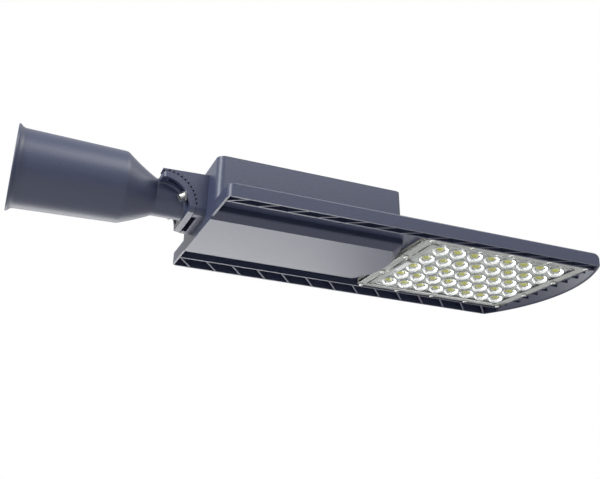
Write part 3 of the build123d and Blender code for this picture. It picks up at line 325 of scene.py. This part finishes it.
def extruded_aluminium():
    """Bare extruded aluminium: pale grey, drawn lines along its length."""
    material, tree, shader = new_material("bare_extruded_aluminium")
    shader.inputs["Metallic"].default_value = 1.0
    vary_colour(tree, shader, rgb("#B9BBBD"), 0.93, 1.04, 8 * MM)
    place = add_node(tree, "ShaderNodeTexCoord")
    drawn = add_node(tree, "ShaderNodeMapping", inputs={"Scale": (0.03, 1, 1)},
                     links={"Vector": place.outputs["Object"]})
    lines = add_node(tree, "ShaderNodeTexNoise", inputs={"Scale": 1 / (0.5 * MM)},
                     links={"Vector": drawn.outputs["Vector"]})
    vary_roughness(tree, shader, lines, 0.3, 0.5)
    return material


def moulded_nylon(name, hex_colour):
    """Moulded polyamide: a plain satin skin with a very fine spark-eroded grain."""
    material, tree, shader = new_material(name)
    vary_colour(tree, shader, rgb(hex_colour), 0.95, 1.05, 5 * MM)
    shader.inputs["Roughness"].default_value = 0.5
    add_bump(tree, shader, 0.5 * MM, 0.02 * MM)
    return material


def thermal_pad_silicone():
    """Filled gap pad: soft, matt, blue-grey and slightly mottled."""
    material, tree, shader = new_material("filled_silicone_pad")
    vary_colour(tree, shader, rgb("#8E939A"), 0.92, 1.06, 2 * MM)
    shader.inputs["Roughness"].default_value = 0.8
    return material


# Mesh helpers

def mesh_object(name, mesh):
    obj = bpy.data.objects.new(name, mesh)
    bpy.context.scene.collection.objects.link(obj)
    return obj


def plain_mesh(obj):
    """An object's mesh as its modifiers leave it. The modifiers are then taken off."""
    bpy.context.view_layer.update()
    evaluated = obj.evaluated_get(bpy.context.evaluated_depsgraph_get())
    mesh = bpy.data.meshes.new_from_object(evaluated)
    obj.modifiers.clear()
    return mesh


def shade(mesh, angle=30):
    """Smooth faces, with edges sharper than the angle kept sharp."""
    mesh.shade_smooth()
    mesh.set_sharp_from_angle(angle=math.radians(angle))


def bridge(bm, ring_a, ring_b):
    """Faces between two closed rings of the same length."""
    count = len(ring_a)
    for i in range(count):
        j = (i + 1) % count
        bm.faces.new((ring_a[i], ring_a[j], ring_b[j], ring_b[i]))


def cap(bm, ring, tip):
    """Faces that close a ring at one point."""
    count = len(ring)
    for i in range(count):
        bm.faces.new((ring[i], ring[(i + 1) % count], tip))


def lathe(bm, profile, steps):
    """A solid of revolution round Z, from (radius, height) pairs that start and end on the axis."""
    first = bm.verts.new((0, 0, profile[0][1]))
    last = bm.verts.new((0, 0, profile[-1][1]))
    rings = []
    for radius, height in profile[1:-1]:
        rings.append([bm.verts.new((radius * math.cos(2 * math.pi * i / steps),
                                    radius * math.sin(2 * math.pi * i / steps), height))
                      for i in range(steps)])
    cap(bm, rings[0], first)
    for a, b in zip(rings, rings[1:]):
        bridge(bm, a, b)
    cap(bm, rings[-1], last)


def finish_mesh(bm, name, angle=30):
    """A shaded mesh with its faces outwards, from a bmesh that is then freed."""
    bmesh.ops.recalc_face_normals(bm, faces=bm.faces)
    mesh = bpy.data.meshes.new(name)
    bm.to_mesh(mesh)
    bm.free()
    shade(mesh, angle)
    return mesh


def dress(name, material):
    """Puts a material on a CAD node."""
    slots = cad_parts[name].data.materials
    slots.clear()
    slots.append(material)


# Geometry Nodes: one shape set out on a rectangular grid or on given points

def pattern_tree(name, grid):
    """Sets a shape out on the object's own points, or on a grid with named counts and pitches."""
    tree = bpy.data.node_groups.new(name, "GeometryNodeTree")
    sockets = {"Geometry": "Geometry", "Shape": "Object", "Material": "Material"}
    if grid:
        sockets.update({"Columns": "Int", "Rows": "Int", "Column pitch": "Float",
                        "Row pitch": "Float", "Centre": "Vector", "Weld": "Float"})
    for label, kind in sockets.items():
        tree.interface.new_socket(label, in_out="INPUT", socket_type="NodeSocket" + kind)
    tree.interface.new_socket("Geometry", in_out="OUTPUT", socket_type="NodeSocketGeometry")
    source = add_node(tree, "NodeGroupInput")
    shape = add_node(tree, "GeometryNodeObjectInfo", links={"Object": source.outputs["Shape"]})
    if grid:
        spans = []
        for count, pitch in (("Columns", "Column pitch"), ("Rows", "Row pitch")):
            less = add_node(tree, "ShaderNodeMath", {"operation": "SUBTRACT"}, {1: 1.0},
                            {0: source.outputs[count]})
            spans.append(add_node(tree, "ShaderNodeMath", {"operation": "MULTIPLY"},
                                  links={0: less.outputs[0], 1: source.outputs[pitch]}))
        points = add_node(tree, "GeometryNodeMeshGrid", links={
            "Size X": spans[0].outputs[0], "Size Y": spans[1].outputs[0],
            "Vertices X": source.outputs["Columns"], "Vertices Y": source.outputs["Rows"]})
        placed = add_node(tree, "GeometryNodeSetPosition", links={
            "Geometry": points.outputs["Mesh"], "Offset": source.outputs["Centre"]})
        start = placed.outputs["Geometry"]
    else:
        start = source.outputs["Geometry"]
    copies = add_node(tree, "GeometryNodeInstanceOnPoints", links={
        "Points": start, "Instance": shape.outputs["Geometry"]})
    solid = add_node(tree, "GeometryNodeRealizeInstances", links={
        "Geometry": copies.outputs["Instances"]})
    result = solid.outputs["Geometry"]
    if grid:
        weld = add_node(tree, "GeometryNodeMergeByDistance", links={
            "Geometry": result, "Distance": source.outputs["Weld"]})
        joined = add_node(tree, "GeometryNodeJoinGeometry")
        tree.links.new(weld.outputs["Geometry"], joined.inputs["Geometry"])
        tree.links.new(source.outputs["Geometry"], joined.inputs["Geometry"])
        second = add_node(tree, "GeometryNodeMergeByDistance", links={
            "Geometry": joined.outputs["Geometry"], "Distance": source.outputs["Weld"]})
        result = second.outputs["Geometry"]
    painted = add_node(tree, "GeometryNodeSetMaterial", links={
        "Geometry": result, "Material": source.outputs["Material"]})
    add_node(tree, "NodeGroupOutput", links={"Geometry": painted.outputs["Geometry"]})
    return tree


def socket_key(tree, name):
    """The identifier of a tree's input, which a modifier's value is set by."""
    for item in tree.interface.items_tree:
        if item.item_type == "SOCKET" and item.in_out == "INPUT" and item.name == name:
            return item.identifier
    raise RuntimeError(f"{tree.name} has no input named {name}")


def face_outwards(mesh):
    """Turns the faces of a closed mesh outwards, so that clear pieces bend light the right way."""
    bm = bmesh.new()
    bm.from_mesh(mesh)
    bmesh.ops.recalc_face_normals(bm, faces=bm.faces)
    bm.to_mesh(mesh)
    bm.free()


def trim_wall_ends(mesh):
    """Cuts off the inner walls' ends, which the solid leaves standing 1 to 3 mm out of the nose.

    Each end is a small box on the nose's face. Its faces go, and the points where it met the nose
    are joined across, row by row.
    """
    bm = bmesh.new()
    bm.from_mesh(mesh)
    for side in (-1, 1):
        ends = [v for v in bm.verts if v.co.x > WALL_END_X - 0.1 * MM
                and abs(side * v.co.y - WALL_END_Y) < 2 * MM]
        proud = {face for v in ends for face in v.link_faces}
        rows = {}
        for v in {v for face in proud for v in face.verts} - set(ends):
            rows.setdefault(round(v.co.z, 4), {})[round(v.co.y, 4)] = v.co.copy()
        bmesh.ops.delete(bm, geom=list(proud), context="FACES")
        lines = [[bm.verts.new(row[y]) for y in sorted(row)] for _, row in sorted(rows.items())]
        for low, high in zip(lines, lines[1:]):
            patch = bm.faces.new(low + high[::-1])
            patch.smooth = True
            patch.normal_update()
            if patch.normal.x < 0:
                patch.normal_flip()
    bm.to_mesh(mesh)
    bm.free()


def grow_pattern(name, base_mesh, shape, material, grid=None):
    """Runs the pattern on a base mesh and returns the result as a plain mesh object."""
    tree = pattern_tree(name + "_pattern", bool(grid))
    obj = mesh_object(name, base_mesh)
    modifier = obj.modifiers.new("Pattern", "NODES")
    modifier.node_group = tree
    for key, value in {"Shape": shape, "Material": material, **(grid or {})}.items():
        modifier[socket_key(tree, key)] = value
    mesh = plain_mesh(obj)
    obj.data = mesh
    mesh.name = name
    face_outwards(mesh)
    shade(mesh)
    bpy.data.objects.remove(shape)
    return obj


def points_mesh(name, points):
    """Loose points, one for each copy that a pattern sets out."""
    mesh = bpy.data.meshes.new(name)
    mesh.from_pydata([tuple(p) for p in points], [], [])
    return mesh


# Lens plate

def lens_height(finish, x, y):
    """How far a lens stands out from the plate at a place measured from its middle."""
    foot = finish.dome / 2
    rise = PLATE_HIGH[2] - PLATE_LOW[2] - finish.thickness - CELL_COLLAR_H
    radius = (foot ** 2 + rise ** 2) / (2 * rise)
    reach = min(math.hypot(x, y), foot)
    cap_height = CELL_COLLAR_H + math.sqrt(radius ** 2 - reach ** 2) - (radius - rise)
    fade = 1 - (reach / foot) ** 2
    return cap_height - fade * finish.valley * math.exp(-(y / finish.valley_width) ** 2)


def cell_outline(half_x, half_y):
    """Points round a lens's rectangular share of the plate, corner to corner."""
    corners = [(-half_x, -half_y), (half_x, -half_y), (half_x, half_y), (-half_x, half_y)]
    points = []
    for i in range(4):
        (x0, y0), (x1, y1) = corners[i], corners[(i + 1) % 4]
        for k in range(CELL_POINTS):
            share = k / CELL_POINTS
            points.append((x0 + (x1 - x0) * share, y0 + (y1 - y0) * share))
    return points


def lens_cell(finish, pitch_x, pitch_y):
    """One lens with its share of the plate: the dome below, the filling round the LED above."""
    bm = bmesh.new()
    outline = cell_outline(pitch_x / 2, pitch_y / 2)
    turns = [math.atan2(y, x) for x, y in outline]
    face = PLATE_HIGH[2] - finish.field_thickness
    back = PLATE_HIGH[2] - SEAL_GAP

    def ring(radius, height):
        return [bm.verts.new((radius * math.cos(t), radius * math.sin(t),
                              height(radius * math.cos(t), radius * math.sin(t)))) for t in turns]

    outer = [[bm.verts.new((x, y, face)) for x, y in outline]]
    collar_r = finish.collar / 2
    dome_r = finish.dome / 2
    outer.append(ring(collar_r, lambda x, y: face))
    outer.append(ring(collar_r - 0.1 * MM, lambda x, y: face - 0.3 * MM))
    outer.append(ring(collar_r - 0.25 * MM, lambda x, y: face - CELL_COLLAR_H))
    steps = 9
    for k in range(steps):
        radius = dome_r * math.cos(0.5 * math.pi * k / steps)
        outer.append(ring(radius, lambda x, y: face - lens_height(finish, x, y)))
    for a, b in zip(outer, outer[1:]):
        bridge(bm, a, b)
    cap(bm, outer[-1], bm.verts.new((0, 0, face - lens_height(finish, 0, 0))))

    # The filling stops just short of the board.
    inner = [[bm.verts.new((x, y, back)) for x, y in outline]]
    behind = 0.9 * (BOARD_LOW[2] - back)
    for share, rise in ((1.0, 0.0), (0.97, 0.6), (0.9, 1.0)):
        inner.append(ring(finish.filling * share, lambda x, y, r=rise: back + r * behind))
    for a, b in zip(inner, inner[1:]):
        bridge(bm, b, a)
    cap(bm, inner[-1][::-1], bm.verts.new((0, 0, back + behind)))
    mesh = bpy.data.meshes.new("lens_cell")
    bm.to_mesh(mesh)
    bm.free()
    return mesh_object("lens_cell", mesh)


def plate_border(finish, field_low, field_high, pitch_x, pitch_y):
    """The plate's rim round the lens field, with a bead that stops beside the inner screws."""
    bm = bmesh.new()
    face = PLATE_HIGH[2] - finish.thickness
    back = PLATE_HIGH[2] - SEAL_GAP
    field = PLATE_HIGH[2] - finish.field_thickness
    bead_low = Vector((PLATE_LOW[0] + BEAD_REAR, PLATE_LOW[1] + BEAD_SIDE))
    bead_high = Vector((PLATE_HIGH[0] - BEAD_FRONT, PLATE_HIGH[1] - BEAD_SIDE))
    # Four screws stand evenly at each end, so the inner two are a sixth of the span off centre.
    screw_y = (LENS_SCREW_HIGH[1] - LENS_SCREW_LOW[1] - PLATE_HEAD_D) / 6

    # The points match those round the lenses' shares of the plate, so that the two weld.
    along_x = [field_low[0] + pitch_x * k / CELL_POINTS
               for k in range(CELL_POINTS * finish.columns + 1)]
    along_y = [field_low[1] + pitch_y * k / CELL_POINTS
               for k in range(CELL_POINTS * finish.rows + 1)]
    loop = [(x, field_low[1]) for x in along_x[:-1]]
    loop += [(field_high[0], y) for y in along_y[:-1]]
    loop += [(x, field_high[1]) for x in reversed(along_x[1:])]
    loop += [(field_low[0], y) for y in reversed(along_y[1:])]
    middle = ((field_low[0] + field_high[0]) / 2, (field_low[1] + field_high[1]) / 2)
    half = ((field_high[0] - field_low[0]) / 2, (field_high[1] - field_low[1]) / 2)

    def spread(low, high):
        """The loop stretched onto a larger rectangle."""
        points = []
        for x, y in loop:
            u = (x - middle[0]) / half[0]
            v = (y - middle[1]) / half[1]
            points.append(((low[0] + high[0]) / 2 + u * (high[0] - low[0]) / 2,
                           (low[1] + high[1]) / 2 + v * (high[1] - low[1]) / 2))
        return points

    def bead(amount):
        """The bead's outer line, drawn in by the given amount."""
        return spread((bead_low[0] + amount, bead_low[1] + amount),
                      (bead_high[0] - amount, bead_high[1] - amount))

    def edge(amount):
        """The plate's outline with its round corners, drawn in by the given amount."""
        low = (PLATE_LOW[0] + amount, PLATE_LOW[1] + amount)
        high = (PLATE_HIGH[0] - amount, PLATE_HIGH[1] - amount)
        radius = PLATE_CORNER_R - amount
        points = []
        for x, y in spread(low, high):
            cx = min(max(x, low[0] + radius), high[0] - radius)
            cy = min(max(y, low[1] + radius), high[1] - radius)
            away = Vector((x - cx, y - cy))
            if abs(x - cx) > 0 and abs(y - cy) > 0:
                away = away.normalized() * radius
            points.append((cx + away.x, cy + away.y))
        return points

    def crest(x, y):
        """Height of the bead's top, which drops to the face beside an inner screw."""
        beside_screw = abs(abs(y) - screw_y) < BEAD_BREAK
        at_end = x < field_low[0] or x > field_high[0]
        return face if at_end and beside_screw else face - BEAD_HEIGHT

    def level(points, z):
        return [bm.verts.new((x, y, z)) for x, y in points]

    def crested(points):
        return [bm.verts.new((x, y, crest(x, y))) for x, y in points]

    step = Vector(FIELD_STEP)
    rings = [
        level(loop, field),
        level(spread(field_low - step, field_high + step), face),
        level(bead(BEAD_WIDTH), face),
        crested(bead(BEAD_WIDTH * 0.8)),
        crested(bead(BEAD_WIDTH * 0.2)),
        level(bead(0), face),
        level(edge(PLATE_CHAMFER), face),
        level(edge(0), face + PLATE_CHAMFER),
        level(edge(0), back),
        level(loop, back),
    ]
    for a, b in zip(rings, rings[1:]):
        bridge(bm, b, a)
    mesh = bpy.data.meshes.new("plate_border")
    bm.to_mesh(mesh)
    bm.free()
    return mesh


def rounded_block(name, low, high, radius, segments=3):
    """A box between two corners with rounded edges."""
    bm = bmesh.new()
    size = Vector(high) - Vector(low)
    centre = (Vector(high) + Vector(low)) / 2
    place = Matrix.Translation(centre) @ Matrix.Diagonal((*size, 1))
    bmesh.ops.create_cube(bm, size=1.0, matrix=place)
    bmesh.ops.bevel(bm, geom=bm.edges[:], offset=radius, segments=segments, profile=0.5,
                    affect="EDGES")
    return finish_mesh(bm, name)


def screw_head(name, diameter, height, shank, length):
    """A pan head with a cross recess, head up along +Z, seat at z = 0."""
    bm = bmesh.new()
    r = diameter / 2
    tip = 0.3 * MM
    dome = [(1.0, 0.12), (0.97, 0.42), (0.86, 0.72), (0.66, 0.92), (0.5, 0.98), (0, 1.0)]
    profile = [(0, -length), (shank / 2 - tip, -length), (shank / 2, -length + tip), (shank / 2, 0),
               (r - 0.1 * MM, 0), *((r * out, height * up) for out, up in dome)]
    lathe(bm, profile, 24)
    head = mesh_object(name, finish_mesh(bm, name, 40))

    cutter = bmesh.new()
    for turn in (0, math.pi / 2):
        arm = Matrix.Rotation(turn, 4, "Z") @ Matrix.Translation((0, 0, height))
        size = Matrix.Diagonal((r * 1.05, r * 0.26, height * 1.1, 1))
        bmesh.ops.create_cube(cutter, size=1.0, matrix=arm @ size)
    cut = mesh_object(name + "_cross", finish_mesh(cutter, name + "_cross"))
    tool = head.modifiers.new("Recess", "BOOLEAN")
    tool.operation = "DIFFERENCE"
    tool.solver = "EXACT"
    tool.use_self = True
    tool.object = cut
    head.data = plain_mesh(head)
    bpy.data.objects.remove(cut)
    return head


# Operators

class STREETLIGHT_OT_castings(bpy.types.Operator):
    """Gives the sleeve, the housing and the lid their powder coat"""
    bl_idname = "streetlight.castings"
    bl_label = "Coat castings"

    def execute(self, context):
        coat = powder_coated_aluminium(context.scene.streetlight_casting)
        for name in ("pole_sleeve", "compartment_lid"):
            dress(name, coat)
        casting = mesh_object("housing_casting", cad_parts["housing"].data.copy())
        trim_wall_ends(casting.data)
        casting.data.materials.clear()
        casting.data.materials.append(coat)
        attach(casting, "head")
        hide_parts("housing")
        return {"FINISHED"}


class STREETLIGHT_OT_lens_module(bpy.types.Operator):
    """Builds the clear lens plate and the LEDs behind it, and finishes the board and its seal"""
    bl_idname = "streetlight.lens_module"
    bl_label = "Lens module"

    def execute(self, context):
        finish = context.scene.streetlight_lens
        pitch_x = (CHIP_HIGH[0] - CHIP_LOW[0] - CHIP_SIDE) / (finish.columns - 1)
        pitch_y = (CHIP_HIGH[1] - CHIP_LOW[1] - CHIP_SIDE) / (finish.rows - 1)
        centre = ((CHIP_LOW[0] + CHIP_HIGH[0]) / 2, (CHIP_LOW[1] + CHIP_HIGH[1]) / 2)
        half = (pitch_x * finish.columns / 2, pitch_y * finish.rows / 2)
        field_low = Vector((centre[0] - half[0], centre[1] - half[1]))
        field_high = Vector((centre[0] + half[0], centre[1] + half[1]))

        grid = {"Columns": finish.columns, "Rows": finish.rows, "Column pitch": pitch_x,
                "Row pitch": pitch_y, "Centre": (centre[0], centre[1], 0.0), "Weld": WELD}
        border = plate_border(finish, field_low, field_high, pitch_x, pitch_y)
        plate = grow_pattern("lens_plate_clear", border, lens_cell(finish, pitch_x, pitch_y),
                             clear_polycarbonate(), grid)
        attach(plate, "head")
        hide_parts("lens_plate")

        face = PLATE_HIGH[2] - finish.thickness
        cover_mesh = rounded_block(
            "wire_cover", (PLATE_LOW[0] + COVER_REAR, COVER_Y[0], face - COVER_HEIGHT),
            (PLATE_LOW[0] + COVER_FRONT, COVER_Y[1], face + COVER_ROOT), COVER_HEIGHT / 2)
        cover_mesh.materials.append(plate.data.materials[0])
        cover = mesh_object("wire_cover", cover_mesh)
        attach(cover, "head")

        # Each LED is a white body with a slightly smaller square of phosphor let into its face.
        grid["Centre"] = (centre[0], centre[1], CHIP_HIGH[2])
        depth = CHIP_HIGH[2] - CHIP_LOW[2]
        reach = CHIP_SIDE / 2
        body = rounded_block("chip_body", (-reach, -reach, -depth * 0.85), (reach, reach, 0),
                             0.15 * MM, 1)
        packages = grow_pattern("led_bodies", points_mesh("led_bodies", []),
                                mesh_object("chip_body", body), led_ceramic(), grid)
        reach = CHIP_SIDE * 0.48
        square = rounded_block("chip_phosphor", (-reach, -reach, -depth),
                               (reach, reach, -depth * 0.7), 0.1 * MM, 1)
        phosphors = grow_pattern("led_phosphors", points_mesh("led_phosphors", []),
                                 mesh_object("chip_phosphor", square), led_phosphor(finish), grid)
        for piece in (packages, phosphors):
            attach(piece, "head")
            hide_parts("led_packages")

        dress("led_board", solder_mask())
        dress("lens_gasket", silicone_rubber("grey_silicone_seal", "#C6C5BC"))
        dress("thermal_pad", thermal_pad_silicone())
        return {"FINISHED"}


class STREETLIGHT_OT_screws(bpy.types.Operator):
    """Sets out the pan-head screws of the lens plate and of the lid"""
    bl_idname = "streetlight.screws"
    bl_label = "Plate and lid screws"

    def execute(self, context):
        steel = stainless_steel()
        # Five screws along each side of the plate and two more at each end, heads down.
        low, high = LENS_SCREW_LOW, LENS_SCREW_HIGH
        first = PLATE_HEAD_D / 2
        xs = [low[0] + first + k * (high[0] - low[0] - PLATE_HEAD_D) / 4 for k in range(5)]
        ys = [low[1] + first + k * (high[1] - low[1] - PLATE_HEAD_D) / 3 for k in range(4)]
        seats = [(x, y) for x in xs for y in (ys[0], ys[3])]
        seats += [(x, y) for x in (xs[0], xs[4]) for y in ys[1:3]]
        seat_z = PLATE_HIGH[2] - context.scene.streetlight_lens.thickness
        head = screw_head("pan_head", PLATE_HEAD_D, PLATE_HEAD_H, PLATE_SHANK_D, PLATE_SHANK_LENGTH)
        head.data.transform(Matrix.Rotation(math.pi, 4, "X"))
        points = points_mesh("plate_screws", [(x, y, seat_z) for x, y in seats])
        plate = grow_pattern("plate_screws", points, head, steel)
        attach(plate, "head")
        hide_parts("lens_screws")

        # Three screws along each side of the lid, heads up.
        low, high = LID_SCREW_LOW, LID_SCREW_HIGH
        first = LID_HEAD_D / 2
        xs = (low[0] + first, (LID_LOW[0] + LID_HIGH[0]) / 2, high[0] - first)
        ys = (low[1] + first, high[1] - first)
        points = points_mesh("lid_fixings", [(x, y, high[2] - LID_HEAD_H) for x in xs for y in ys])
        head = screw_head("lid_head", LID_HEAD_D, LID_HEAD_H, LID_SHANK_D, LID_SHANK_LENGTH)
        lid = grow_pattern("lid_fixings", points, head, steel)
        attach(lid, "head")
        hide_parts("lid_screws")

        for name in ("tilt_screws", "tilt_washers", "board_screws"):
            dress(name, steel)
        return {"FINISHED"}


class STREETLIGHT_OT_gear(bpy.types.Operator):
    """Finishes the pieces inside the driver compartment, the seals and the sleeve's set screws"""
    bl_idname = "streetlight.gear"
    bl_label = "Gear and seals"

    def execute(self, context):
        zinc = zinc_plated_steel()
        for name in ("sleeve_set_screws", "gear_tray", "tray_screws", "earth_screw",
                     "driver_screws", "clamp_screws"):
            dress(name, zinc)
        dress("led_driver", extruded_aluminium())
        white = moulded_nylon("natural_white_nylon", "#DCDCD6")
        black = moulded_nylon("black_nylon", "#1C1D20")
        seal = silicone_rubber("black_silicone_seal", "#2C2C2B")
        for name in ("terminal_block", "board_connector"):
            dress(name, white)
        for name in ("surge_protector", "cable_clamp", "breather_vent"):
            dress(name, black)
        for name in ("cable_grommet", "lid_gasket", "duct_grommet"):
            dress(name, seal)
        return {"FINISHED"}


class STREETLIGHT_OT_stage(bpy.types.Operator):
    """Puts up the pale floor, the soft lights and the camera"""
    bl_idname = "streetlight.stage"
    bl_label = "Stage"

    def execute(self, context):
        settings = context.scene.streetlight_stage
        self.floor(settings)
        self.world(context.scene, settings)
        self.lamp("key", (0.333, -0.52, 0.79), (1.8, 0.8), settings.key)
        self.lamp("underlight", (0.05, 0.875, -0.353), (1.3, 0.8), settings.underlight, 110)
        self.lamp("side_light", (-0.875, -0.333, 0.353), (0.35, 1.4), settings.side)
        self.camera(context.scene, settings)
        context.scene.view_settings.view_transform = "Standard"
        return {"FINISHED"}

    def seen_directly(self, tree):
        """1 for camera, mirror and glass paths that haven't met a matt surface, else 0."""
        path = add_node(tree, "ShaderNodeLightPath")
        eye = add_node(tree, "ShaderNodeMath", {"operation": "MAXIMUM"}, links={
            0: path.outputs["Is Camera Ray"], 1: path.outputs["Is Glossy Ray"]})
        shown = add_node(tree, "ShaderNodeMath", {"operation": "MAXIMUM"}, links={
            0: eye.outputs[0], 1: path.outputs["Is Transmission Ray"]})
        direct = add_node(tree, "ShaderNodeMath", {"operation": "LESS_THAN"}, {1: 0.5},
                          {0: path.outputs["Diffuse Depth"]})
        return add_node(tree, "ShaderNodeMath", {"operation": "MULTIPLY"}, links={
            0: shown.outputs[0], 1: direct.outputs[0]}).outputs[0]

    def floor(self, settings):
        """A pale matt floor. Its faint glow is for the eye, mirrors and glass, so it keeps shadows."""
        mesh = bpy.data.meshes.new("floor")
        corners = [(x * FLOOR_HALF, y * FLOOR_HALF, -settings.floor_drop)
                   for x, y in ((-1, -1), (1, -1), (1, 1), (-1, 1))]
        mesh.from_pydata(corners, [], [(0, 1, 2, 3)])
        material, tree, shader = new_material("pale_matt_floor")
        vary_colour(tree, shader, rgb("#E6E6E6"), 0.99, 1.0, 0.5)
        shader.inputs["Roughness"].default_value = 0.9
        glow = add_node(tree, "ShaderNodeMath", {"operation": "MULTIPLY"}, {1: settings.floor_glow},
                        {0: self.seen_directly(tree)})
        shader.inputs["Emission Color"].default_value = (1, 1, 1, 1)
        tree.links.new(glow.outputs[0], shader.inputs["Emission Strength"])
        mesh.materials.append(material)
        mesh_object("floor", mesh)

    def world(self, scene, settings):
        """An even grey light, seen as white by the camera and in reflections and refractions."""
        world = bpy.data.worlds.new("studio")
        world.use_nodes = True
        tree = world.node_tree
        tree.nodes.clear()
        soft, white = (
            add_node(tree, "ShaderNodeBackground",
                     inputs={"Color": (1, 1, 1, 1), "Strength": strength})
            for strength in (settings.ambient, 1.0))
        mix = add_node(tree, "ShaderNodeMixShader", links={
            0: self.seen_directly(tree), 1: soft.outputs[0], 2: white.outputs[0]})
        add_node(tree, "ShaderNodeOutputWorld", links={"Surface": mix.outputs[0]})
        scene.world = world

    def lamp(self, name, towards, size, power, spread=180):
        """A soft box that stands in the given direction from the head and faces it."""
        head = Vector(LIT_POINT)
        light = bpy.data.lights.new(name, "AREA")
        light.shape = "RECTANGLE"
        light.size, light.size_y = size
        light.energy = power
        light.spread = math.radians(spread)
        obj = bpy.data.objects.new(name, light)
        obj.location = head + LAMP_DISTANCE * Vector(towards).normalized()
        obj.rotation_euler = (head - obj.location).to_track_quat("-Z", "Y").to_euler()
        bpy.context.scene.collection.objects.link(obj)

    def camera(self, scene, settings):
        """The photograph's view: from below and from the head's -Y side, looking along it."""
        camera = bpy.data.cameras.new("photo_view")
        camera.sensor_width = SENSOR_WIDTH
        camera.lens = settings.focal_px / FRAME_WIDTH * camera.sensor_width
        obj = bpy.data.objects.new("photo_view", camera)
        look = Vector(VIEW_TOWARDS).normalized()
        right = look.cross(Vector(VIEW_UP)).normalized()
        up = right.cross(look)
        turn = Matrix((right, up, -look)).transposed().to_4x4()
        obj.matrix_world = Matrix.Translation(VIEW_PLACE) @ turn
        scene.collection.objects.link(obj)
        scene.camera = obj


class STREETLIGHT_PT_panel(bpy.types.Panel):
    bl_idname = "STREETLIGHT_PT_panel"
    bl_label = "Street Light"
    bl_space_type = "VIEW_3D"
    bl_region_type = "UI"
    bl_category = "Street Light"

    def draw(self, context):
        layout = self.layout
        for group in GROUPS:
            settings = getattr(context.scene, group)
            box = layout.box()
            for key in settings.__annotations__:
                box.prop(settings, key)
        for name in STEPS:
            layout.operator("streetlight." + name)


STEPS = ("castings", "lens_module", "screws", "gear", "stage")
GROUPS = {
    "streetlight_casting": CastingFinish,
    "streetlight_lens": LensFinish,
    "streetlight_stage": StageSettings,
}
CLASSES = (
    CastingFinish, LensFinish, StageSettings, STREETLIGHT_OT_castings, STREETLIGHT_OT_lens_module,
    STREETLIGHT_OT_screws, STREETLIGHT_OT_gear, STREETLIGHT_OT_stage, STREETLIGHT_PT_panel,
)


def register():
    for cls in CLASSES:
        bpy.utils.register_class(cls)
    for name, group in GROUPS.items():
        setattr(bpy.types.Scene, name, bpy.props.PointerProperty(type=group))


def unregister():
    for name in GROUPS:
        delattr(bpy.types.Scene, name)
    for cls in reversed(CLASSES):
        bpy.utils.unregister_class(cls)


def main():
    register()
    for name in STEPS:
        getattr(bpy.ops.streetlight, name)()


if __name__ == "__main__":
    main()
